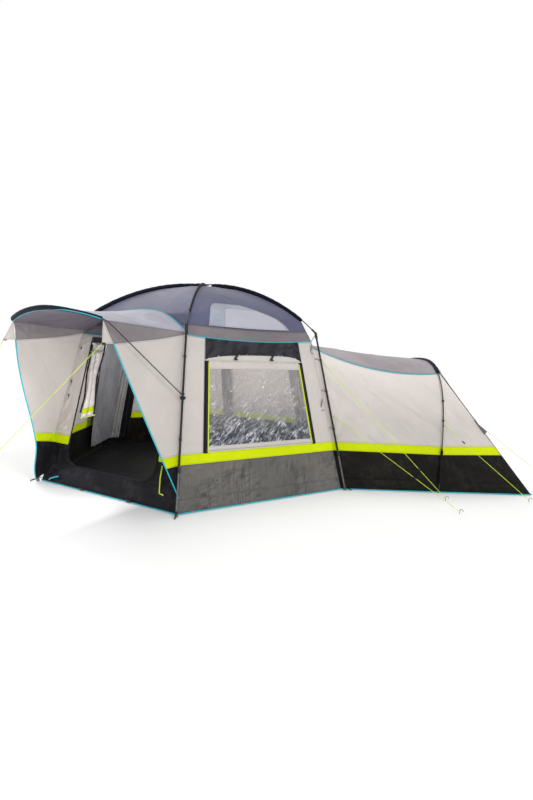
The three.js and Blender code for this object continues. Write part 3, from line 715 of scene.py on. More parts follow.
def zip_material(name):
    """Black zip tape: ribbed cloth."""
    maker = Maker(name)
    flat = maker.coordinates()
    ribs = maker.wave(flat, 0.003, "Y")
    tone = maker.ramp(ribs, [(0.2, linear((0.04, 0.04, 0.045))), (0.9, linear((0.12, 0.12, 0.13)))])
    maker.set("Base Color", tone)
    maker.set("Normal", maker.bump(ribs, 0.0008))
    maker.set("Roughness", 0.6)
    maker.set("Specular IOR Level", 0.2)
    return maker.material


ROOF = (0.342, 0.345, 0.450)
ROOF_LIGHTER = (0.650, 0.645, 0.700)
GREY_BROWN = (0.475, 0.450, 0.465)
CREAM = (0.795, 0.768, 0.750)
LIME = (0.80, 0.87, 0.0)
MUD = (0.074, 0.070, 0.060)
MUD_GREY = (0.395, 0.384, 0.368)
SILL_BLACK = (0.10, 0.10, 0.115)
TURQUOISE = (0.0, 0.70, 0.77)
NAVY = (0.075, 0.08, 0.15)
BLACK = (0.055, 0.055, 0.06)
GUY_LIME = (0.76, 0.88, 0.16)

M = {
    "roof": cloth_material("cloth_roof_navy", ROOF, roughness=0.5, sheen=0.2),
    "canopy_roof": cloth_material("cloth_canopy_grey", ROOF_LIGHTER, roughness=0.5, sheen=0.2),
    "band": cloth_material("cloth_band_grey_brown", GREY_BROWN, roughness=0.62),
    "cream": cloth_material("cloth_panel_cream", CREAM, crinkle=0.003, mottle=0.03),
    "lime": cloth_material("cloth_band_lime", LIME, crinkle=0.003, sheen=0.02, mottle=0.04, specular=0.15),
    # The black mud and sill get crease lines painted lighter as painted highlight; the charcoal mud gets them
    # painted darker as painted shade.
    "mud": cloth_material(
        "cloth_mud_black", MUD, roughness=0.5, crinkle=0.006, sheen=0.02, mottle=0.25, specular=0.1,
        painted_fold_shading=0.5, painted_fold_tone=2.6,
    ),
    "mud_grey": cloth_material(
        "cloth_mud_charcoal", MUD_GREY, roughness=0.5, crinkle=0.012, sheen=0.08, mottle=0.16, painted_fold_shading=0.75,
        painted_fold_tone=0.5,
    ),
    "sill": cloth_material(
        "cloth_sill_black", SILL_BLACK, roughness=0.45, crinkle=0.006, sheen=0.02, mottle=0.3,
        specular=0.12, painted_fold_shading=0.6, painted_fold_tone=2.0,
    ),
    "navy": cloth_material("sleeve_navy", NAVY, roughness=0.6, crinkle=0.004, sheen=0.06, specular=0.15),
    "ground": cloth_material(
        "groundsheet_woven", (0.08, 0.08, 0.09), roughness=0.5, crinkle=0.006, sheen=0.02, mottle=0.2,
        specular=0.1,
    ),
    "curtain_light": cloth_material("curtain_pale_grey", (0.60, 0.59, 0.58), roughness=0.7, crinkle=0.006),
    "curtain_dark": cloth_material("curtain_slate", (0.24, 0.25, 0.29), roughness=0.6, crinkle=0.006),
    # A darker copy of the canopy cloth, for a sheet that paints shade under the canopy.
    "canopy_lining": cloth_material("cloth_canopy_underside_painted_shade", (0.40, 0.37, 0.42), roughness=0.7),
    "leaf": cloth_material("cloth_leaf_cream", (0.89, 0.865, 0.85), crinkle=0.006, mottle=0.04),
    "side_grey": cloth_material("cloth_canopy_side_grey", (0.530, 0.500, 0.510), roughness=0.62),
    # The pod's cream, with its top painted lighter as painted light.
    "pod_cream": cloth_material("cloth_pod_cream", CREAM, crinkle=0.004, mottle=0.05, rise=0.13),
    "pod_top": cloth_material("cloth_pod_roof_grey_brown", (0.630, 0.600, 0.615), roughness=0.6),
    "tie_tape": webbing_material("tape_grey_brown", (0.48, 0.44, 0.43)),
    "curtain": cloth_material("curtain_grey", (0.48, 0.48, 0.49), roughness=0.7, crinkle=0.006, mottle=0.15),
    "light": cloth_material("roof_light_frosted", (0.60, 0.62, 0.67), roughness=0.45, mottle=0.10),
    "light_inner": cloth_material("roof_light_clear", (0.70, 0.70, 0.745), roughness=0.35, mottle=0.02),
    "film": film_material("window_film_clear", (0.29, 0.32, 0.38), 0.15, 0.85),
    "mesh": mesh_material("vent_mesh_dark", (0.15, 0.15, 0.175)),
    "piping": webbing_material("piping_turquoise", TURQUOISE),
    "lime_tape": webbing_material("tape_lime", LIME),
    "black_tape": webbing_material("tape_black", BLACK),
    "pale_tape": webbing_material("tape_pale", (0.66, 0.64, 0.62)),
    "guy": webbing_material("guy_cord_lime", GUY_LIME, period=0.006),
    "zip": zip_material("zip_black"),
    "plastic": rod_material("plastic_black_moulded", (0.10, 0.10, 0.105), 0.5),
    "fibreglass": rod_material("fibreglass_dark", (0.17, 0.17, 0.18), 0.35),
    "leg": rod_material("leg_black_over_steel", (0.09, 0.09, 0.10), 0.38, 0.4, (0.40, 0.40, 0.41), 0.40),
    "zinc": rod_material("peg_zinc", (0.55, 0.56, 0.58), 0.35, 0.9),
}


# ---- Making pieces ----
CANOPY_HANG_START = at_door(1.566, 0.0, 0.075)
CANOPY_HANG_LENGTH = 0.823
CANOPY_HANG_TILT = math.radians(15.0)
CANOPY_HANG_END = CANOPY_HANG_START + at_door(
    CANOPY_HANG_LENGTH * math.cos(CANOPY_HANG_TILT), 0.0, CANOPY_HANG_LENGTH * math.sin(CANOPY_HANG_TILT)
)


def settle(piece, look, body):
    """Gives a piece its material and slot, and joins it to its body; "canopy" hangs between dome and bow."""
    piece.data.materials.append(M[look])
    if body == "canopy":
        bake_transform(piece)
    else:
        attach(piece, body)
    return piece


def build_mesh(name, points, faces, uvs, edges=None):
    """A mesh object from points and faces, with a UV and an edge distance for each point."""
    data = bpy.data.meshes.new(name)
    data.from_pydata(points.tolist(), [], faces)
    data.polygons.foreach_set("use_smooth", [True] * len(data.polygons))
    corners = np.zeros(len(data.loops), np.int32)
    data.loops.foreach_get("vertex_index", corners)
    layer = data.uv_layers.new(name="metres")
    layer.data.foreach_set("uv", uvs[corners].astype(np.float32).ravel())
    far_from_edge = np.ones(len(points)) if edges is None else edges
    attribute = data.attributes.new("edge", "FLOAT", "POINT")
    attribute.data.foreach_set("value", far_from_edge.astype(np.float32))
    data.update()
    piece = bpy.data.objects.new(name, data)
    bpy.context.collection.objects.link(piece)
    return piece


def along_rows(points, axis):
    """The length run so far along one axis of a grid of points."""
    steps = np.linalg.norm(np.diff(points, axis=axis), axis=-1)
    start = np.zeros_like(np.take(steps, [0], axis=axis))
    return np.concatenate((start, np.cumsum(steps, axis=axis)), axis=axis)


def grid_normals(points):
    du = np.gradient(points, axis=0)
    dv = np.gradient(points, axis=1)
    normals = np.cross(du, dv)
    return normals / np.maximum(np.linalg.norm(normals, axis=-1, keepdims=True), 1e-12)


def fan(x, y, corner, count, reach, seed):
    """Creases that run out of a corner under tension and fade with distance."""
    shift = random.Random(seed).uniform(0, 2 * math.pi)
    dx = x - corner[0]
    dy = y - corner[1]
    distance = np.hypot(dx, dy)
    angle = np.arctan2(dy, dx)
    wave = np.sin(count * angle + shift + 1.3 * np.sin(3 * angle + shift))
    return (0.6 * wave + 0.4 * np.abs(wave)) * np.exp(-distance / reach) * smooth(distance / 0.06)


RIPPLE_WAVES = 5


def ripple(x, y, turn, wavelength, seed):
    """Uneven parallel folds; turn is the direction across them."""
    chance = random.Random(seed)
    total = 0.0
    for _ in range(RIPPLE_WAVES):
        way = turn + chance.uniform(-0.3, 0.3)
        number = 2 * math.pi / (wavelength * chance.uniform(0.7, 1.6))
        phase = chance.uniform(0, 2 * math.pi)
        drift = 0.7 * np.sin(3.1 * x + 4.7 * y + phase)
        total = total + np.sin(number * (x * math.cos(way) + y * math.sin(way)) + phase + drift)
    return total / RIPPLE_WAVES


def crease(x, y, width, height, count, length, seed, turn=None):
    """Short sharp folds strewn over a panel, each a raised line that tapers off at its ends."""
    chance = random.Random(seed)
    total = np.zeros_like(x)
    for _ in range(count):
        cx = chance.uniform(-0.5, 0.5) * width
        cy = chance.uniform(0, 1) * height
        way = chance.uniform(0, math.pi) if turn is None else turn + chance.uniform(-0.35, 0.35)
        long = length * chance.uniform(0.5, 1.3)
        thin = chance.uniform(0.010, 0.024)
        run = (x - cx) * math.cos(way) + (y - cy) * math.sin(way)
        off = -(x - cx) * math.sin(way) + (y - cy) * math.cos(way) + 0.15 * run**2
        total += chance.choice((-1, 1)) * np.exp(-((off / thin) ** 2) - (2 * run / long) ** 4)
    return total


def relief(
    x, y, seed, billow=0.007, fans=0.009, pucker=0.003, creases=14, crease_height=0.005, turn=None,
    folds=0.0,
):
    """How far a panel of cloth stands proud at each point, from its creases and slack."""
    width = x.max() - x.min()
    height = y.max()
    to_top = y.max(axis=1)[:, None] - y
    edge = np.minimum(np.minimum(x - x.min(axis=0), x.max(axis=0) - x), np.minimum(y, to_top))
    total = billow * ripple(x, y, 1.1, 0.55, seed)
    for i, corner in enumerate(((-width / 2, 0), (width / 2, 0), (-width / 2, height), (width / 2, height))):
        total += fans * fan(x, y, corner, 14, 0.28 * max(width, height) / 1.5, seed + i)
    total += crease_height * crease(x, y, width, height, creases, 0.22, seed + 9, turn)
    total += folds * ripple(x, y, 0.0 if turn is None else turn + math.pi / 2, 0.06, seed + 5)
    total *= smooth(edge / 0.05)
    near_seam = np.exp(-y / 0.05) + np.exp(-to_top / 0.05)
    total += pucker * near_seam * ripple(x, 0 * y, 0.0, 0.035, seed + 3) * smooth(edge / 0.006)
    return total


THREAD = 0.0007


def seed_of(name):
    return len(name) * 7 + sum(map(ord, name))


def panel(name, at, look, body="tent", step=0.018, inside=(0, 0, 0.7), seed=None, thick=THREAD, **folds):
    """A cloth panel bent onto at(u, v), with both faces and its four edges."""
    coarse = at(*np.meshgrid(np.linspace(0, 1, 9), np.linspace(0, 1, 9), indexing="ij"))
    columns = max(2, int(math.ceil(along_rows(coarse, 0).max() / step)))
    rows = max(2, int(math.ceil(along_rows(coarse, 1).max() / step)))
    u, v = np.meshgrid(np.linspace(0, 1, columns + 1), np.linspace(0, 1, rows + 1), indexing="ij")
    base = at(u, v)
    normals = grid_normals(base)
    outward = np.sum(normals * (base - np.array(inside))) > 0
    if not outward:
        normals = -normals
    x = along_rows(base, 0)
    x = x - x[-1:] / 2
    y = along_rows(base, 1)
    proud = relief(x, y, seed_of(name) if seed is None else seed, **folds)
    front = base + normals * proud[..., None]
    back = front - normals * thick
    edge = np.minimum(np.minimum(x - x[:1], x[-1:] - x), np.minimum(y, y[:, -1:] - y))
    flat = (x[-1] - x[0]).max(), y[:, -1].max()
    return grid_piece(name, front, back, np.stack((x, y), -1), edge, outward, look, body), flat, base


def grid_piece(name, front, back, uv, edge, outward, look, body):
    n, m = front.shape[:2]
    index = np.arange(n * m).reshape(n, m)
    a, b, c, d = index[:-1, :-1], index[1:, :-1], index[1:, 1:], index[:-1, 1:]
    quads = np.stack((a, b, c, d), -1).reshape(-1, 4)
    behind = quads[:, ::-1] + n * m
    ring = np.concatenate((index[:, 0], index[-1, 1:], index[-2::-1, -1], index[0, -2:0:-1]))
    after = np.roll(ring, -1)
    rim = np.stack((after, ring, ring + n * m, after + n * m), -1)
    faces = np.concatenate((quads, behind, rim))
    if not outward:
        faces = faces[:, ::-1]
    points = np.concatenate((front.reshape(-1, 3), back.reshape(-1, 3)))
    flat_uv = uv.reshape(-1, 2)
    edges = np.tile(edge.ravel(), 2)
    return settle(build_mesh(name, points, faces.tolist(), np.tile(flat_uv, (2, 1)), edges), look, body)


def sewn(name, at, look, held="stretched", rests_on=(), replaces=(), **options):
    """A cloth panel that hides the CAD parts it replaces; the size it was cut to is worked out but not used,
    a laid sheet as long as its middle.
    """
    piece, (width, length), base = panel(name, at, look, **options)
    if held == "laid":
        middle = base[len(base) // 2]
        length = np.linalg.norm(middle[-1] - middle[0])
    cells = np.cross(np.diff(base, axis=0)[:, :-1], np.diff(base, axis=1)[:-1])
    surface = np.linalg.norm(cells, axis=-1).sum()
    width = min(width, 2 * surface / length)
    if replaces:
        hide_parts(*replaces)
    return piece


def frames_along(points):
    """Tangents and two cross directions along a line of points, without twist."""
    tangents = np.gradient(points, axis=0)
    tangents /= np.linalg.norm(tangents, axis=1, keepdims=True)
    start = np.cross(tangents[0], (0, 0, 1.0))
    if np.linalg.norm(start) < 1e-3:
        start = np.cross(tangents[0], (1.0, 0, 0))
    sides = [start / np.linalg.norm(start)]
    for tangent in tangents[1:]:
        side = sides[-1] - tangent * np.dot(sides[-1], tangent)
        sides.append(side / np.linalg.norm(side))
    sides = np.array(sides)
    return tangents, sides, np.cross(sides, tangents)


def tube(name, points, radius, look, body="tent", sides=8, tall=None, wobble=0.0):
    """A round or oval tube along points. tall is its half height, where that differs from its half width."""
    points = np.asarray(points, float)
    tangents, across, upwards = frames_along(points)
    around = np.linspace(0, 2 * math.pi, sides, endpoint=False)
    run = along_rows(points, 0)
    half_width = np.broadcast_to(radius, (len(points),)).astype(float)
    half_height = half_width if tall is None else np.broadcast_to(tall, (len(points),)).astype(float)
    if wobble:
        uneven = 1 + wobble * ripple(run, 0 * run, 0.0, 0.09, len(name))
        half_width = half_width * uneven
        half_height = half_height * uneven
    rings = (
        points[:, None]
        + across[:, None] * (np.cos(around)[None, :, None] * half_width[:, None, None])
        + upwards[:, None] * (np.sin(around)[None, :, None] * half_height[:, None, None])
    )
    count = len(points)
    index = np.arange(count * sides).reshape(count, sides)
    after = np.roll(index, -1, axis=1)
    quads = np.stack((index[:-1], after[:-1], after[1:], index[1:]), -1).reshape(-1, 4).tolist()
    quads += [index[0, ::-1].tolist(), index[-1].tolist()]
    turn = np.broadcast_to(around * float(half_width.max()), (count, sides))
    uvs = np.stack((turn, np.broadcast_to(run[:, None], (count, sides))), -1).reshape(-1, 2)
    piece = build_mesh(name, rings.reshape(-1, 3), quads, uvs)
    return settle(piece, look, body)


def strap(name, points, width, look, body="tent", thick=0.0015, across=(0, 0, 1)):
    """A flat strap along points, lying with its width along the given direction."""
    points = np.asarray(points, float)
    tangents = np.gradient(points, axis=0)
    across = np.asarray(across, float)
    wide = across - tangents * (tangents @ across / np.sum(tangents**2, 1))[:, None]
    wide /= np.linalg.norm(wide, axis=1, keepdims=True)
    normal = np.cross(tangents, wide)
    normal /= np.linalg.norm(normal, axis=1, keepdims=True)
    front = np.stack((points - wide * width / 2, points, points + wide * width / 2), 0) + normal * thick / 2
    back = front - normal * thick
    run = along_rows(points, 0)
    uv = np.stack(np.broadcast_arrays(np.array((-0.5, 0, 0.5))[:, None] * width, run), -1)
    edge = np.ones(uv.shape[:2])
    outward = np.dot(np.cross(front[1, 0] - front[0, 0], front[0, 1] - front[0, 0]), normal[0]) > 0
    return grid_piece(name, front, back, uv, edge, outward, look, body)


def piping(name, points, radius=0.005, body="tent", look="piping"):
    """A thin round cord of cloth sewn into a seam."""
    return tube(name, points, radius, look, body, sides=6)


def line(start, end, count=2):
    start = np.asarray(start, float)
    end = np.asarray(end, float)
    return start + (end - start) * np.linspace(0, 1, count)[:, None]


def hanging_loop(name, top, length, lean):
    """A short tie of webbing that hangs from a seam and turns up at its end."""
    fall = np.linspace(0, 1, 8)
    points = np.asarray(top, float) + np.stack(
        (lean[0] * fall**2 * length, lean[1] * fall**2 * length, -length * fall), -1
    )
    return strap(name, points, 0.012, "tie_tape", thick=0.0025, across=(0.8, 0.3, 0))


def toggle(name, place, way, length, radius, look="plastic"):
    """A small barrel with rounded ends."""
    way = np.asarray(way, float) / np.linalg.norm(way)
    share = np.linspace(-1, 1, 9)
    points = np.asarray(place, float) + way * (share * length / 2)[:, None]
    return tube(name, points, radius * (1 - share**6) ** 0.5 + 0.0004, look, sides=10)


# ---- Guy lines ----
CORD_RADIUS = 0.0025
PEG_ROD = 0.003
PEG_HOOK_Z = 0.024
LINE_POINTS = 17


def leg_guy(z):
    return leg_point(CORNERS["pod_right"], z) + np.array((LEG_TUBE + 0.004, -0.003, 0))


CANOPY_TIPS = {
    1: at_door(CANOPY_CORNER_OUT + 0.004, CANOPY_CORNER_SIDE, CANOPY_CORNER_Z - 0.190),
    -1: at_door(CANOPY_CORNER_OUT + 0.020, -CANOPY_CORNER_SIDE - 0.105, CANOPY_CORNER_Z - 0.177),
}
# Each line's start and the place of its peg on the ground.
GUYS = {
    "leg_top": (leg_guy(1.300), (2.516, -1.175)),
    "leg_middle": (leg_guy(0.750), (2.488, -1.554)),
    "pod_hoop": (np.array((POD_HOOP_X + 0.008, -POD_HALF - 0.032, 0.700)), (3.360, -1.143)),
    "pod_tail": (np.array((3.050, -0.812, 0.640)), (3.880, -1.000)),
    "canopy_right": (CANOPY_TIPS[1], (-1.760, -2.230)),
    "canopy_left": (CANOPY_TIPS[-1], (-1.960, -1.860)),
}


def guy_end(start, peg):
    away = np.array((peg[0] - start[0], peg[1] - start[1]))
    away /= np.linalg.norm(away)
    short = PEG_ROD + CORD_RADIUS + 0.001
    return np.array((peg[0] - away[0] * short, peg[1] - away[1] * short, PEG_HOOK_Z))


def add_guys():
    for name, (start, peg) in GUYS.items():
        points = line(start, guy_end(start, peg), LINE_POINTS)
        cord = tube("guy_line_" + name, points, CORD_RADIUS, "guy")
        if name.startswith("canopy"):
            cord.parent = None
            del cord["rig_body"]
            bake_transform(cord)
        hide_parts("guy_" + name)


add_camera()
add_studio()
add_guys()


# ---- Dome roof ----
ROOF_POLES = ["roof_pole_a", "roof_pole_b", "roof_pole_c"]
PIPING_RADIUS = 0.0045


def add_roof():
    for name, face in FACES.items():
        sewn(
            "roof_panel_" + name, lambda u, v, f=face: gore(f, 2 * u - 1, (1 - v) * BAND_SHARE), "roof",
            replaces=["roof_gore_" + name], rests_on=ROOF_POLES, step=0.022, billow=0.006, fans=0.006,
            creases=16,
        )
        sewn(
            "roof_band_" + name, lambda u, v, f=face: gore(f, 2 * u - 1, mix(1, BAND_SHARE, v)), "band",
            rests_on=ROOF_POLES, step=0.016, pucker=0.002, creases=8,
        )
        shares = np.linspace(-1, 1, 60)
        piping("eave_piping_" + name, gore(face, shares, np.ones(60), 0.002), PIPING_RADIUS)
        tube("roof_seam_" + name, gore(face, shares, np.full(60, BAND_SHARE), 0.001), 0.0022, "band", sides=6)


SKYLINE_CORNERS = ("front_left", "back_left")
SLEEVE_START_RADIUS = 0.075
LOW_SLEEVE_START_RADIUS = 0.110
SLEEVE_WIDTH = 0.0115
STRETCHED_SLEEVE_WIDTH = 0.0072


def add_sleeves():
    """Each pole runs in a navy sleeve whose skirt reaches down to the roof cloth; one is stretched flat."""
    for corner, angle in CORNERS.items():
        is_under = corner in ("front_right", "back_right")
        first = LOW_SLEEVE_START_RADIUS if is_under else SLEEVE_START_RADIUS
        radii = np.linspace(first, SLEEVE_END_RADIUS, 70)
        over = pole_point(corner, radii, POLE_ROD + (0.022 if corner in SKYLINE_CORNERS else 0.004))
        under = polar(radii, angle, ROOF_CENTRE + np.sqrt(ROOF_ARC**2 - radii**2) - 0.003)
        ends = np.minimum(1, 0.8 + 8 * np.minimum(radii - radii[0], radii[-1] - radii))
        tall = np.maximum(0.019, 0.46 * np.linalg.norm(over - under, axis=1)) * ends
        wide = (STRETCHED_SLEEVE_WIDTH if corner == "front_right" else SLEEVE_WIDTH) * ends
        tube("pole_sleeve_" + corner, (over + under) / 2, wide, "navy", sides=12, tall=tall, wobble=0.10)


LIGHT_TOP_SHARE = 0.640


def light_right(level):
    """The roof light's right edge at a share of its height: a long curve down to a tip."""
    return mix(-0.08, 0.66, (1 - level**1.8) ** 0.85)


def roof_light_at(left_bottom, left_top, top_level, inset, lift):
    """A D shape with an upright left edge, rounded at its top, and a right edge that tapers to a tip."""

    def at(u, v):
        rounding = 0.10 * (1 - np.sqrt(np.clip(1 - (np.maximum(0, v - 0.72) / 0.28) ** 2, 0, 1)))
        left = mix(left_bottom, left_top, v) + rounding
        right = light_right(v * top_level) - inset
        share = mix(BAND_SHARE - 0.004, LIGHT_TOP_SHARE, v * top_level)
        return gore(FACES["window"], mix(left, right, u), share, lift)

    return at


def add_roof_light():
    flat = {"step": 0.014, "billow": 0.002, "fans": 0.001, "creases": 5, "crease_height": 0.0012}
    piece, _, _ = panel("roof_light_frosted", roof_light_at(-0.70, -0.66, 0.995, 0.0, 0.009), "light", **flat)
    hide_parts("roof_light")
    panel("roof_light_clear", roof_light_at(-0.46, -0.42, 0.76, 0.045, 0.013), "light_inner", **flat)


def add_peak_tie():
    """A loop and a strap of tape hold the three crossed poles together at the peak."""
    top = np.array((0, 0, PEAK_Z + POLE_ROD + 0.003))
    around = np.linspace(0, 2 * math.pi, 24)
    loop = np.stack((0.030 * np.cos(around), 0.030 * np.sin(around), -0.012 + 0.006 * np.cos(2 * around)), -1)
    tube("peak_tie_loop", top + loop, 0.004, "black_tape")
    over = top + np.array(((-0.035, 0, -0.020), (0, 0, 0), (0.035, 0, -0.020)))
    strap("peak_tie_strap", over, 0.020, "black_tape", across=(0, 1, 0))


add_roof()
add_sleeves()
add_roof_light()
add_peak_tie()


# ---- Dome walls ----
def band_levels(bottom):
    """The stretches of a wall between its colour changes: below the lime band, the band, and above it."""
    return ((bottom, MUD_TOP, "mud"), (MUD_TOP, LIME_TOP, "lime"), (LIME_TOP, None, "cream"))


BAND_FOLDS = {
    "mud": {"billow": 0.006, "fans": 0.012, "pucker": 0.004, "creases": 20, "crease_height": 0.006},
    "lime": {"billow": 0.002, "fans": 0.002, "pucker": 0.003, "creases": 5, "crease_height": 0.002},
    "cream": {"billow": 0.008, "fans": 0.010, "pucker": 0.003, "creases": 16, "crease_height": 0.005},
}
for folds_of_band in BAND_FOLDS.values():
    folds_of_band["step"] = 0.014


def banded(name, surface, left, right, bottom, ceiling, mud="mud", replaces=(), **options):
    """Wall panels one over the other: surface(share, z) is a point, left(z) and right(z) are the sides."""
    for low_z, high_z, look in band_levels(bottom):

        def at(u, v, low_z=low_z, high_z=high_z):
            share = mix(left(low_z), right(low_z), u)
            for _ in range(3):
                z = mix(low_z, ceiling(share) if high_z is None else high_z, v)
                share = mix(left(z), right(z), u)
            return surface(share, z)

        is_mud = look == "mud"
        folds = {**BAND_FOLDS[look], **options}
        sewn(name + "_" + look, at, mud if is_mud else look, replaces=replaces if is_mud else (), **folds)


def constant(value):
    return lambda z: value + 0 * z


def patch(face, left, right, bottom, top, lift=0.0):
    """A patch of a wall between two shares and two heights; a height may change along the patch."""

    def height(edge, u):
        return edge(u) if callable(edge) else edge

    def at(u, v):
        return wall(face, mix(left, right, u), mix(height(bottom, u), height(top, u), v), lift)

    return at


def wall_surface(face):
    return lambda share, z: wall(face, share, z)


PIPING_OUT = 0.007


def ground_piping(name):
    """Turquoise piping sewn along the outside of a wall's foot."""
    face = FACES[name]
    ends = (wall(face, -1.0, 0.006, PIPING_OUT), wall(face, 1.0, 0.006, PIPING_OUT))
    piping("ground_piping_" + name, line(*ends, 24))


def add_corner_seams():
    """A rolled seam closes the walls at each corner of the dome, in the colours of the bands it crosses."""
    for corner, angle in CORNERS.items():
        for low_z, high_z, look in band_levels(0.006):
            heights = np.linspace(low_z, high_z or EAVE_Z - 0.004, 20)
            points = polar(WALL_FOOT_RADIUS - WALL_LEAN * heights - 0.002, angle, heights)
            tube("corner_seam_%s_%s" % (corner, look), points, PIPING_RADIUS, look)


def add_plain_walls():
    for name in ("rear_right", "rear", "rear_left"):
        face = FACES[name]
        banded(
            "wall_" + name, wall_surface(face), constant(-1.0), constant(1.0), WALL_FOOT_Z, eave_z,
            replaces=["wall_rear"],
        )
        ground_piping(name)


def door_half(z):
    """The half width of the doorway at a height, with its lower corners rounded."""
    sides = mix(DOOR_BOTTOM_HALF, DOOR_TOP_HALF, (z - DOOR_BOTTOM) / (DOOR_TOP - DOOR_BOTTOM))
    drop = np.clip((DOOR_BOTTOM + DOOR_CORNER - z) / DOOR_CORNER, 0, 1)
    return sides - DOOR_CORNER * (1 - np.sqrt(1 - drop**2))


DOOR_HEADER_TOP = 1.478
DOOR_HEADER_SIDE = 0.78
DOOR_VENT_SIDE = 0.76


def add_door_wall():
    face = FACES["door"]
    surface = wall_surface(face)

    def edge(hand):
        return lambda z: hand * door_half(z) / wall_half(z)

    sewn(
        "door_sill", patch(face, -1, 1, WALL_FOOT_Z, DOOR_BOTTOM), "sill", replaces=["wall_door"],
        **{**BAND_FOLDS["mud"], "folds": 0.002, "turn": 0.2},
    )
    folds = {"mud": "sill", "turn": 1.45, "folds": 0.0022}
    banded("door_column_right", surface, edge(1), constant(1.0), DOOR_BOTTOM, eave_z, **folds)
    banded("door_column_left", surface, constant(-1.0), edge(-1), DOOR_BOTTOM, eave_z, **folds)
    vent = patch(face, -DOOR_VENT_SIDE, DOOR_VENT_SIDE, DOOR_TOP + 0.002, DOOR_HEADER_TOP - 0.006, 0.004)
    sewn("door_header_vent", vent, "mesh")
    header = patch(face, -DOOR_HEADER_SIDE, DOOR_HEADER_SIDE, DOOR_TOP - 0.003, DOOR_HEADER_TOP)
    sewn("door_header", header, "cream")
    ground_piping("door")
    rim = []
    for hand in (-1, 1):
        heights = np.linspace(DOOR_TOP, DOOR_BOTTOM, 40)
        side = [wall(face, hand * door_half(z) / wall_half(z), z, 0.004) for z in heights]
        rim.append(side if hand < 0 else side[::-1])
    tube("door_zip_rim", rim[0] + rim[1], 0.013, "zip", tall=0.004)
    tube("door_zip_top", line(rim[0][0], rim[1][-1], 8), 0.010, "zip", tall=0.004)


POD_DOORWAY_SIDE = 0.99
POD_DOORWAY_BOTTOM = 0.120
POD_DOORWAY_TOP = 1.33
POD_DOORWAY_TOP_HALF = 0.500
POD_DOORWAY_FOOT_HALF = 0.620
POD_HEADER_SIDE = 0.7
POD_HEADER_TOP = 1.475


def add_pod_wall():
    face = FACES["pod"]
    surface = wall_surface(face)
    side = POD_DOORWAY_SIDE

    def edge(hand):
        def share(z):
            half = mix(POD_DOORWAY_FOOT_HALF, POD_DOORWAY_TOP_HALF, z / POD_DOORWAY_TOP)
            return hand * half / wall_half(z)

        return share

    banded(
        "pod_doorway_right", surface, constant(-side), edge(-1), POD_DOORWAY_BOTTOM, eave_z,
        replaces=["wall_pod_doorway"],
    )
    banded("pod_doorway_left", surface, edge(1), constant(side), POD_DOORWAY_BOTTOM, eave_z)
    sill = patch(face, -side, side, WALL_FOOT_Z, POD_DOORWAY_BOTTOM)
    sewn("pod_doorway_sill", sill, "mud", **BAND_FOLDS["mud"])
    header = patch(face, -POD_HEADER_SIDE, POD_HEADER_SIDE, POD_DOORWAY_TOP, POD_HEADER_TOP)
    sewn("pod_doorway_header", header, "cream")


def vent_hem(across):
    """The vent's lower edge droops at both ends."""
    return VENT_BOTTOM + 0.047 - 0.050 * np.exp(-across / 0.16) - 0.060 * np.exp(-(1 - across) / 0.06)


WINDOW_FRAME_SIDE = WINDOW_SIDE + 0.045
WINDOW_SEAM_Z = 0.115


def add_window_wall():
    face = FACES["window"]
    side = WINDOW_FRAME_SIDE
    for name, left, right in (("left", -1.0, -side), ("right", side, 1.0)):
        column = patch(face, left, right, LIME_TOP, lambda u, a=left, b=right: eave_z(mix(a, b, u)))
        sewn("window_column_" + name, column, "cream", creases=8, folds=0.0015, turn=1.25)
    sewn(
        "window_band_lime", patch(face, -1, 1, MUD_TOP, LIME_TOP), "lime", replaces=["wall_window"],
        **BAND_FOLDS["lime"],
    )
    mud_folds = {**BAND_FOLDS["mud"], "fans": 0.014, "folds": 0.003, "creases": 26, "step": 0.012}
    sewn("window_mud_upper", patch(face, -1, 1, WINDOW_SEAM_Z, MUD_TOP), "mud_grey", **mud_folds)
    sewn("window_mud_lower", patch(face, -1, 1, WALL_FOOT_Z, WINDOW_SEAM_Z), "mud_grey", **mud_folds)
    ground_piping("window")
    vent = patch(face, -side, side, vent_hem, lambda u: eave_z(mix(-side, side, u)), 0.003)
    sewn(
        "window_vent", vent, "mesh", replaces=["vent_mesh"], step=0.010, billow=0.012, fans=0.008,
        creases=30, crease_height=0.009, pucker=0.006,
    )
    top_strip = patch(face, -side, side, WINDOW_TOP + 0.003, lambda u: vent_hem(u) + 0.012, 0.001)
    sewn(
        "window_top_strip", top_strip, "cream", step=0.010, billow=0.002, creases=6, crease_height=0.002,
        turn=0.95, folds=0.003,
    )
    sewn(
        "window_bottom_strip", patch(face, -side, side, LIME_TOP, WINDOW_BOTTOM + 0.012, -0.001), "cream",
        step=0.010, billow=0.001, fans=0.0, creases=2, pucker=0.001,
    )
    for name, hand in (("left", -1), ("right", 1)):

        def upright(outwards, bottom, top, count, lift):
            return wall(face, hand * (WINDOW_SIDE + outwards), np.linspace(bottom, top, count), lift)

        tape = upright(0.022, LIME_TOP - 0.004, WINDOW_TOP, 30, 0.003)
        strap("window_zip_" + name, tape, 0.040, "zip", across=tuple(at_face(face, 0.0, 1.0, 0.0)))
        teeth = upright(0.018, LIME_TOP, WINDOW_TOP - 0.004, 60, 0.005)
        tube("window_zip_teeth_" + name, teeth, 0.0035, "plastic", wobble=0.3)
        edge = upright(-0.008, LIME_TOP, WINDOW_TOP - 0.014, 40, 0.004)
        tube("window_piping_" + name, edge, 0.006, "lime_tape", "window_flap")


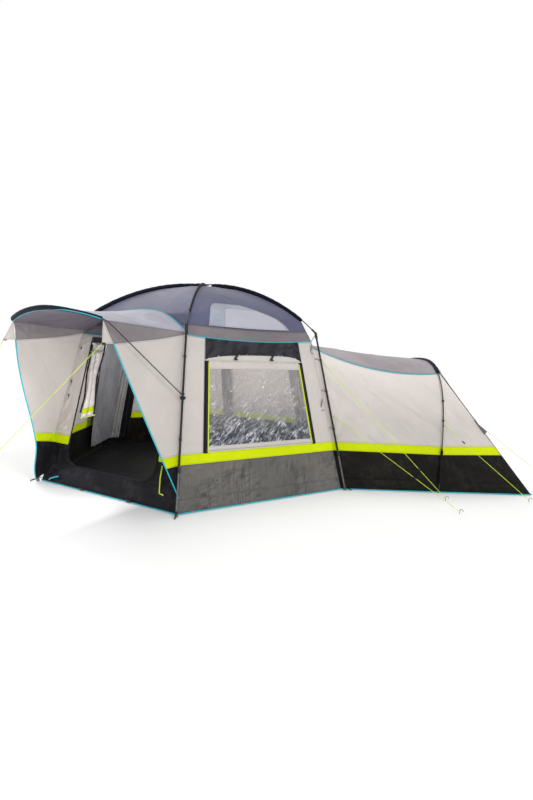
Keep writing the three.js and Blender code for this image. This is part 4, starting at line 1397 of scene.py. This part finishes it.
def add_window_flap():
    face = FACES["window"]
    edge = WINDOW_SIDE - 0.004
    strips = {
        "header": (-edge, edge, PANE_TOP, WINDOW_TOP + 0.001),
        "hem": (-edge, edge, WINDOW_BOTTOM + 0.004, PANE_BOTTOM),
        "side_left": (-edge, -FILM_SIDE, PANE_BOTTOM, PANE_TOP),
        "side_right": (FILM_SIDE, edge, PANE_BOTTOM, PANE_TOP),
    }
    for name, sides in strips.items():
        is_header = name == "header"
        sewn(
            "window_flap_" + name, patch(face, *sides, 0.001), "cream", body="window_flap",
            replaces=["window_panel"] if is_header else (), step=0.008, billow=0.002, creases=6,
            crease_height=0.002, turn=0.95, folds=0.004 if is_header else 0.0,
        )
    sewn(
        "window_film", patch(face, -FILM_SIDE, FILM_SIDE, PANE_BOTTOM, PANE_TOP, 0.0005), "film",
        body="window_flap", replaces=["window_pane"], step=0.009, billow=0.005, fans=0.006, creases=90,
        crease_height=0.003, turn=0.9, folds=0.002,
    )


def add_window_toggles():
    face = FACES["window"]
    for name, share in (("left", -0.272), ("right", 0.282)):
        top = wall(face, share, VENT_BOTTOM + 0.052, 0.010)
        tip = wall(face, share - 0.064, VENT_BOTTOM + 0.002, 0.018)
        toe = wall(face, share - 0.026, VENT_BOTTOM + 0.001, 0.018)
        toggle("window_toggle_" + name, (top + tip) / 2, tip - top, 0.076, 0.010)
        toggle("window_toggle_foot_" + name, (tip + toe) / 2, toe - tip, 0.042, 0.008)
        knot = wall(face, share + 0.04, VENT_BOTTOM + 0.050, 0.006)
        tube("window_toggle_cord_" + name, line(knot, top, 4), 0.003, "black_tape")


add_plain_walls()
add_corner_seams()
add_door_wall()
add_pod_wall()
add_window_wall()
add_window_flap()
add_window_toggles()


# ---- Doorway pieces ----
LEAF_INSIDE = 0.048
LEAF_WIDTHS = (0.210, 0.180)
LEAF_LEFT = -0.546
LEAF_RISE = 0.055


def add_door_leaf():
    """The opened door is gathered along the doorway's left edge: folds of cream cloth between two zips."""
    leaf_low, leaf_high = low("door_leaf"), high("door_leaf")

    def place(share, z, depth=0.0):
        height = np.clip((z - leaf_low.z) / (leaf_high.z - leaf_low.z), 0, 1)
        width = mix(*LEAF_WIDTHS, height) * (1 - 0.24 * np.sin(math.pi * height**0.8) ** 2)
        left = LEAF_LEFT + 0.010 * np.sin(9 * z)
        return at_door(wall_out(z) - LEAF_INSIDE + depth, left + share * width, z)

    def gathered(bottom, top):
        """Folds from the bottom to the top; the hem rises to the right."""

        def at(u, v):
            z = mix(bottom + LEAF_RISE * u, top + LEAF_RISE * u * (top < leaf_high.z - 0.01), v)
            fold = np.sin(2 * math.pi * (2.5 * u + 0.2 * np.sin(5 * z)))
            return place(u, z, 0.013 * fold * (0.7 + 0.3 * np.cos(9 * z)))

        return at

    lime_low = leaf_low.z + 0.045
    lime_high = leaf_low.z + 0.095
    options = {
        "held": "gathered", "body": "door_leaf", "inside": tuple(at_door(0.5, -0.36, 1.0)),
        "step": 0.006, "billow": 0.004, "fans": 0.004,
    }
    sewn("door_leaf_cream", gathered(lime_high, leaf_high.z), "leaf", replaces=["door_leaf"], **options)
    sewn("door_leaf_lime", gathered(lime_low, lime_high), "lime", **options)
    sewn("door_leaf_hem", gathered(leaf_low.z, lime_low), "leaf", **options)
    hem = np.linspace(0, 1, 30)
    hem_line = place(hem, leaf_low.z + LEAF_RISE * hem, 0.006)
    piping("door_leaf_piping", hem_line, body="door_leaf", look="lime_tape")
    for name, share in (("outer", 0.0), ("inner", 1.0)):
        heights = np.linspace(leaf_low.z + 0.06, leaf_high.z, 50)
        swaying = place(share + 0.035 * np.sin(16 * heights), heights, 0.012)
        tube("door_leaf_zip_" + name, swaying, 0.0085, "zip", "door_leaf", wobble=0.25)
    tie = place(np.linspace(-0.05, 1.05, 20), leaf_high.z - 0.075 + 0 * hem[:20], 0.020)
    strap("door_leaf_tie", tie, 0.026, "pale_tape", "door_leaf")


CURTAIN_INSIDE = 0.085
CURTAIN_HEM_Z = 0.13
CURTAIN_TOP_Z = 1.42
CURTAIN_FOLD = 0.020
# Name, wall, start at the top and at the foot, end, number of folds and look.
CURTAINS = (
    ("rear_left", "rear_left", 0.36, -0.22, -0.98, 7, "curtain"),
    ("rear_light", "rear", 0.985, 0.985, 0.78, 4, "curtain_light"),
    ("rear_dark", "rear", 0.775, 0.775, 0.63, 2, "sill"),
    ("window_dark", "rear_right", 0.79, 0.79, 0.57, 3, "curtain_dark"),
    ("window_grey", "rear_right", -0.72, -0.72, -0.965, 4, "curtain"),
)


def add_inner_curtains():
    """Inner curtains hang in folds in front of the walls that the doorway and the window look onto."""

    def hang(face, start_top, start_foot, end, folds):
        def at(u, v):
            z = mix(CURTAIN_HEM_Z, CURTAIN_TOP_Z, v)
            side = mix(mix(start_foot, start_top, v), end, u) * wall_half(z)
            fold = np.sin(2 * math.pi * folds * u + 0.8 * np.sin(4 * z))
            return at_face(face, wall_out(z) - CURTAIN_INSIDE + CURTAIN_FOLD * fold * (1 - 0.5 * v), side, z)

        return at

    for name, face, start_top, start_foot, end, folds, look in CURTAINS:
        sewn(
            "inner_curtain_" + name, hang(FACES[face], start_top, start_foot, end, folds), look,
            held="hung", step=0.014, rests_on=["wall_rear_cream"],
        )


DOOR_TIES = ((-0.93, 1.36), (-0.95, 1.02), (-0.93, 0.88))
SILL_TABS = (-0.32, 0.38)
STAY_MARKS = ((0.785, 0.370), (0.770, 0.260), (0.775, 0.140), (0.83, 0.132))


def add_door_details():
    """Ties on the door wall, tabs on its sill, a lime stay at its corner and a loop of piping."""
    face = FACES["door"]
    for i, (share, z) in enumerate(DOOR_TIES):
        toggle("door_tie_toggle_%d" % i, wall(face, share, z, 0.010), (0.3, 0.1, 1), 0.030, 0.005)
        hanging_loop("door_tie_%d" % i, wall(face, share, z, 0.008), 0.060, (-0.3, 0.1))
    for i, share in enumerate(SILL_TABS):
        shares = np.linspace(share - 0.035, share + 0.035, 5)
        strap("sill_tab_%d" % i, wall(face, shares, 0.012, PIPING_OUT + 0.007), 0.022, "black_tape")
    stay = [wall(face, share, z, 0.016) for share, z in STAY_MARKS]
    strap("lime_stay", stay, 0.013, "lime_tape", across=(0.86, -0.5, 0.1))
    t = np.linspace(0, 1, 8)
    loop = wall(face, -0.86 + 0.14 * t, 0.030 + 0.050 * t, 0.020 + 0.02 * np.sin(math.pi * t))
    tube("sill_turquoise_loop", loop, 0.006, "piping")


add_door_leaf()
add_inner_curtains()
add_door_details()


# ---- Canopy ----
def wing_seam_down(forward):
    """Where the grey strip along the canopy's side ends: by the leg nothing, in front the gusset's tip."""
    return 0.010 + (GUSSET_SHARE - 0.010) * forward


CANOPY_SHADE_SHEET_SHARE = 0.985
CANOPY_SHADE_SHEET_DROP = 0.006


def add_canopy():
    options = {
        "body": "canopy", "inside": tuple(at_door(1.5, 0.0, 0.5)), "step": 0.020, "billow": 0.005,
        "fans": 0.008, "creases": 20,
    }

    def top(u, v):
        return canopy(v, 2 * u - 1)

    # A painted shade sheet: a darker copy of the canopy cloth just under it, standing in for the shade on the
    # canopy's underside.
    def painted_shade_sheet(u, v):
        share = CANOPY_SHADE_SHEET_SHARE
        return canopy(0.01 + share * v, share * (2 * u - 1)) - np.array((0, 0, CANOPY_SHADE_SHEET_DROP))

    sewn("canopy_cloth", top, "canopy_roof", replaces=["canopy_top"], rests_on=["canopy_bow"], **options)
    panel("canopy_lining", painted_shade_sheet, "canopy_lining", seed=seed_of("canopy_cloth"), **options)
    sides = np.linspace(-1, 1, 70)
    piping("canopy_seam_piping", canopy_seam(sides) + np.array((0, 0, 0.003)), PIPING_RADIUS)
    arch = np.linspace(-1, 1, 50)
    bow = bow_point(front_arch(arch), arch * CANOPY_CORNER_SIDE)
    towards_right = smooth((arch + 0.15) / 0.8)
    tube(
        "canopy_bow_sleeve", bow, mix(0.012, 0.0085, towards_right), "navy", "canopy_frame", sides=12,
        tall=mix(0.021, 0.010, towards_right), wobble=0.08,
    )
    reach = front_arch(arch) + mix(-0.020, 0.003, towards_right)
    under = bow_point(reach, arch * CANOPY_CORNER_SIDE, mix(-0.006, -0.013, towards_right))
    piping("canopy_front_piping", under, PIPING_RADIUS, "canopy_frame")


LEFT_BAND_RISE = 0.070


def add_wing(name, hand):
    """The canopy's side wall in bands, its piping, and the gusset that its guy line pulls on."""
    options = {"body": "canopy", "inside": tuple(at_door(1.3, 0.0, 0.8))}

    def strip(top_down, bottom_down):
        def at(u, v):
            return wing(hand, mix(bottom_down(u), top_down(u), v), u)

        return at

    rise = 0.0 if hand > 0 else LEFT_BAND_RISE

    def down_at(z):
        return lambda u: wing_down(hand, u, z + rise * u)

    def floor_down(u):
        return 1.0 + 0 * u

    sewn(
        "canopy_side_" + name, strip(lambda u: 0 * u, wing_seam_down), "side_grey",
        replaces=["canopy_wing_" + name], rests_on=["canopy_bow"], billow=0.003, fans=0.006, **options,
    )
    sewn(
        "canopy_wing_cream_" + name, strip(wing_seam_down, down_at(LIME_TOP)), "cream",
        billow=0.006, fans=0.009, creases=14, crease_height=0.003, **options,
    )
    sewn("canopy_wing_lime_" + name, strip(down_at(LIME_TOP), down_at(MUD_TOP)), "lime", **options)
    sewn("canopy_wing_mud_" + name, strip(down_at(MUD_TOP), floor_down), "sill", fans=0.008, **options)
    downs = np.linspace(GUSSET_SHARE, 1.0, 60)
    piping("canopy_wing_piping_" + name, wing(hand, downs, np.ones(60)), 0.0055, "canopy")
    corner = wing(hand, 0.0, 1.0)
    gusset_tip = wing(hand, GUSSET_SHARE, 1.0)
    guy_tip = CANOPY_TIPS[hand]

    def gusset(u, v):
        return mix(corner, mix(gusset_tip, guy_tip, u[..., None]), 0.02 + 0.98 * v[..., None])

    sewn(
        "canopy_gusset_" + name, gusset, "cream", billow=0.0, fans=0.0, creases=0, pucker=0.0005, **options
    )
    tab = line(mix(guy_tip, gusset_tip, 0.3), guy_tip, 3)
    strap("canopy_guy_tab_" + name, tab, 0.016, "black_tape", "canopy")


add_canopy()
add_wing("right", 1)
add_wing("left", -1)


# ---- Pod ----
POD_SEAM_Z = 0.110


def add_pod_sides():
    mud_folds = {**BAND_FOLDS["mud"], "step": 0.022}
    for name, hand in (("right", -1), ("left", 1)):
        for low_z, high_z, look, options in (
            (WALL_FOOT_Z, POD_SEAM_Z, "mud", mud_folds),
            (POD_SEAM_Z, MUD_TOP, "mud", mud_folds),
            (MUD_TOP, LIME_TOP, "lime", BAND_FOLDS["lime"]),
        ):

            def strip(u, v, h=hand, a=low_z, b=high_z):
                return pod_side_at(h, u, mix(a, b, v))

            piece_name = "pod_%s_%s_%d" % (look, name, round(1000 * low_z))
            sewn(piece_name, strip, look, inside=POD_INSIDE, **options)

        def upper(u, v, h=hand):
            bottom = pod_side_at(h, u, LIME_TOP + 0 * u)[..., 2]
            top = pod_side(h, u, np.ones_like(u))[..., 2]
            return pod_side_at(h, u, mix(bottom, top, v))

        sewn(
            "pod_cream_" + name, upper, "pod_cream", inside=POD_INSIDE, replaces=["pod_wall_" + name],
            step=0.016, billow=0.012, fans=0.012, creases=40, crease_height=0.007, turn=-0.95, folds=0.0012,
        )
        shoulder = pod_side(hand, np.linspace(0, POD_HOOP_SHARE, 60), np.ones(60)) + np.array((0, 0, 0.004))
        piping("pod_edge_piping_" + name, shoulder, PIPING_RADIUS)
        feet = pod_side(hand, np.linspace(0, 1, 60), np.zeros(60)) + np.array((0, hand * 0.003, 0.006))
        piping("pod_ground_piping_" + name, feet)


def add_pod_top():
    sewn(
        "pod_roof_cloth", lambda u, v: pod_roof(u, 0.999 * (2 * v - 1)), "pod_top", inside=POD_INSIDE,
        replaces=["pod_roof"], rests_on=["pod_hoop"], step=0.022, billow=0.006, fans=0.008, creases=18,
    )
    angles = np.linspace(0.30 * math.pi, 0.70 * math.pi, 60)
    tube("pod_hoop_sleeve", hoop_point(angles), 0.020, "navy", sides=12, tall=0.014, wobble=0.08)


def add_pod_end():
    def share_at(across, z):
        arch = pod_end(across, 1.0 + 0 * z)[..., 2]
        return z / arch

    def level(low_z, high_z):
        def at(u, v):
            across = 2 * u - 1
            top = high_z if high_z else pod_end(across, 1.0 + 0 * u)[..., 2]
            return pod_end(across, share_at(across, mix(low_z, top, v)))

        return at

    for low_z, high_z, look in band_levels(WALL_FOOT_Z):
        replaced = ["pod_end"] if look == "mud" else ()
        at = level(low_z, high_z)
        sewn("pod_end_" + look, at, look, inside=POD_INSIDE, replaces=replaced, **BAND_FOLDS[look])
    foot = pod_end(np.linspace(-1, 1, 40), np.zeros(40)) + np.array((0.003, 0, 0.006))
    piping("pod_end_ground_piping", foot)


def hoop_angle(z):
    """Where the hoop's right leg is at a height."""
    return math.asin((z / (POD_TOP + HOOP_RISE)) ** 2)


HOOP_CLIPS = (0.95, 0.75, 0.45)


def add_hoop_fittings():
    """Clips that hold the pod's side to its hoop, and the loops of its guy lines."""
    for hand in (-1, 1):
        side_name = "right" if hand < 0 else "left"
        mirrored = np.array((1, -hand, 1))
        for i, z in enumerate(HOOP_CLIPS):
            angles = np.linspace(hoop_angle(z - 0.010), hoop_angle(z + 0.010), 5)
            ring = hoop_point(angles) * mirrored
            tube("hoop_clip_%s_%d" % (side_name, i), ring, 0.0105, "plastic", sides=12)
            cloth = pod_side_at(hand, np.array(POD_HOOP_SHARE), z + 0.025)
            strap("hoop_tab_%s_%d" % (side_name, i), line(ring[2], cloth, 3), 0.020, "pale_tape")
        sleeve_foot = hoop_point(np.linspace(hoop_angle(0.10), hoop_angle(0.44), 12)) * mirrored
        tube("hoop_foot_sleeve_" + side_name, sleeve_foot, 0.0135, "mud", sides=10, wobble=0.15)
    start = GUYS["pod_hoop"][0]
    anchor = pod_side_at(-1, np.array(POD_HOOP_SHARE + 0.004), 0.700)
    strap("pod_hoop_guy_loop", line(anchor, start, 3), 0.014, "lime_tape")
    tip = GUYS["pod_tail"][0]
    root_low = pod_side_at(-1, np.array(0.985), 0.600)
    root_high = pod_side_at(-1, np.array(0.985), 0.760)

    def tab(u, v):
        return mix(mix(root_low, root_high, u[..., None]), tip, 0.97 * v[..., None])

    sewn(
        "pod_tail_guy_tab", tab, "band", inside=POD_INSIDE, step=0.008, billow=0.001, fans=0.0, creases=1,
        pucker=0.0,
    )


add_pod_sides()
add_pod_top()
add_pod_end()
add_hoop_fittings()


# ---- Groundsheets ----
GROUNDSHEET_Z = 0.010


def add_groundsheets():
    """Woven sheets that lie a little wrinkled on the ground inside the walls' feet."""
    radius = WALL_FOOT_RADIUS - 0.012

    def dome(u, v):
        y = mix(-0.99, 0.99, v) * radius
        reach = math.sqrt(3) * np.minimum(radius / 2, radius - np.abs(y))
        return np.stack((reach * (2 * u - 1), y, GROUNDSHEET_Z + 0 * u), -1)

    def pod(u, v):
        edge = pod_side(1, 0.98 * v + 0.01, 0 * v)
        return np.stack((edge[..., 0], (edge[..., 1] - 0.015) * (2 * u - 1), GROUNDSHEET_Z + 0 * u), -1)

    folds = {
        "held": "laid", "inside": (0, 0, -5), "step": 0.030, "billow": 0.003, "fans": 0.002,
        "crease_height": 0.003,
    }
    sewn("groundsheet_dome_cloth", dome, "ground", replaces=["groundsheet_dome"], creases=40, **folds)
    sewn("groundsheet_pod_cloth", pod, "ground", replaces=["groundsheet_pod"], creases=20, **folds)


add_groundsheets()


# ---- Fittings ----
LEG_CLIPS = (0.62, 1.00, 1.32)
FOOT_HOOK = ((0.004, 0.024), (0.030, 0.022), (0.058, 0.014), (0.066, 0.004))


def add_leg_fittings():
    """Each leg has a collar, clips with their tabs, a foot strap, a hook and a strap at the eave."""
    for corner, angle in CORNERS.items():
        sideways = tuple(polar(1.0, angle + math.pi / 2, 0.0))
        collar = leg_point(angle, np.linspace(MUD_TOP - 0.050, MUD_TOP - 0.005, 8))
        swell = 0.0125 + 0.002 * np.sin(np.linspace(0, math.pi, 8))
        tube("leg_collar_" + corner, collar, swell, "plastic", sides=14)
        for i, z in enumerate(LEG_CLIPS):
            ring = leg_point(angle, np.linspace(z - 0.008, z + 0.008, 5))
            tube("leg_clip_%s_%d" % (corner, i), ring, 0.0135, "plastic", sides=12)
            back = polar(WALL_FOOT_RADIUS - WALL_LEAN * z, angle, z + 0.012)
            strap("leg_clip_tab_%s_%d" % (corner, i), line(ring[2], back, 3), 0.014, "pale_tape")
        foot = leg_point(angle, 0.0, 0.006)
        hem = polar(WALL_FOOT_RADIUS - 0.004, angle, 0.030)
        down = [hem, foot + np.array((0, 0, 0.045)), foot + np.array((0, 0, 0.020))]
        strap("foot_strap_" + corner, down, 0.022, "black_tape", across=sideways)
        hook = [leg_point(angle, 0.0, out) + np.array((0, 0, z)) for out, z in FOOT_HOOK]
        tube("foot_hook_" + corner, hook, 0.0062, "plastic")
        corner_cloth = polar(EAVE_RADIUS - 0.002, angle, EAVE_Z)
        elbow = leg_point(angle, ELBOW_Z - 0.012)
        strap("eave_strap_" + corner, line(corner_cloth, elbow, 4), 0.014, "black_tape", across=sideways)


# Wall, share along it, height and length.
CORNER_TIES = (
    ("door", 0.985, 1.490, 0.090),
    ("window", 0.972, 1.470, 0.085),
    ("window", 0.968, 0.920, 0.115),
)


def add_corner_ties():
    """Loose ties that hang beside the legs in front, for the roll-up panels."""
    for i, (name, share, z, length) in enumerate(CORNER_TIES):
        face = FACES[name]
        hanging_loop("corner_tie_%d" % i, wall(face, share, z, 0.022), length, (-0.15, 0.0))
        foot = wall(face, share, z - length, 0.022) + np.array((-0.15 * length, 0, 0))
        toggle("corner_tie_toggle_%d" % i, foot, (1, 0.2, -0.3), 0.024, 0.005, "tie_tape")


def dress_frame():
    """The CAD pieces that stay in view take their finished materials."""
    looks = {
        "leg": ("leg_",),
        "fibreglass": ("roof_pole", "pod_hoop", "canopy_bow"),
        "plastic": ("elbow_", "canopy_hub", "runner_", "zip_slider"),
        "zinc": ("peg_",),
    }
    for name, node in nodes.items():
        for look, starts in looks.items():
            if name.startswith(starts):
                node.data.materials.clear()
                node.data.materials.append(M[look])


add_leg_fittings()
add_corner_ties()
dress_frame()
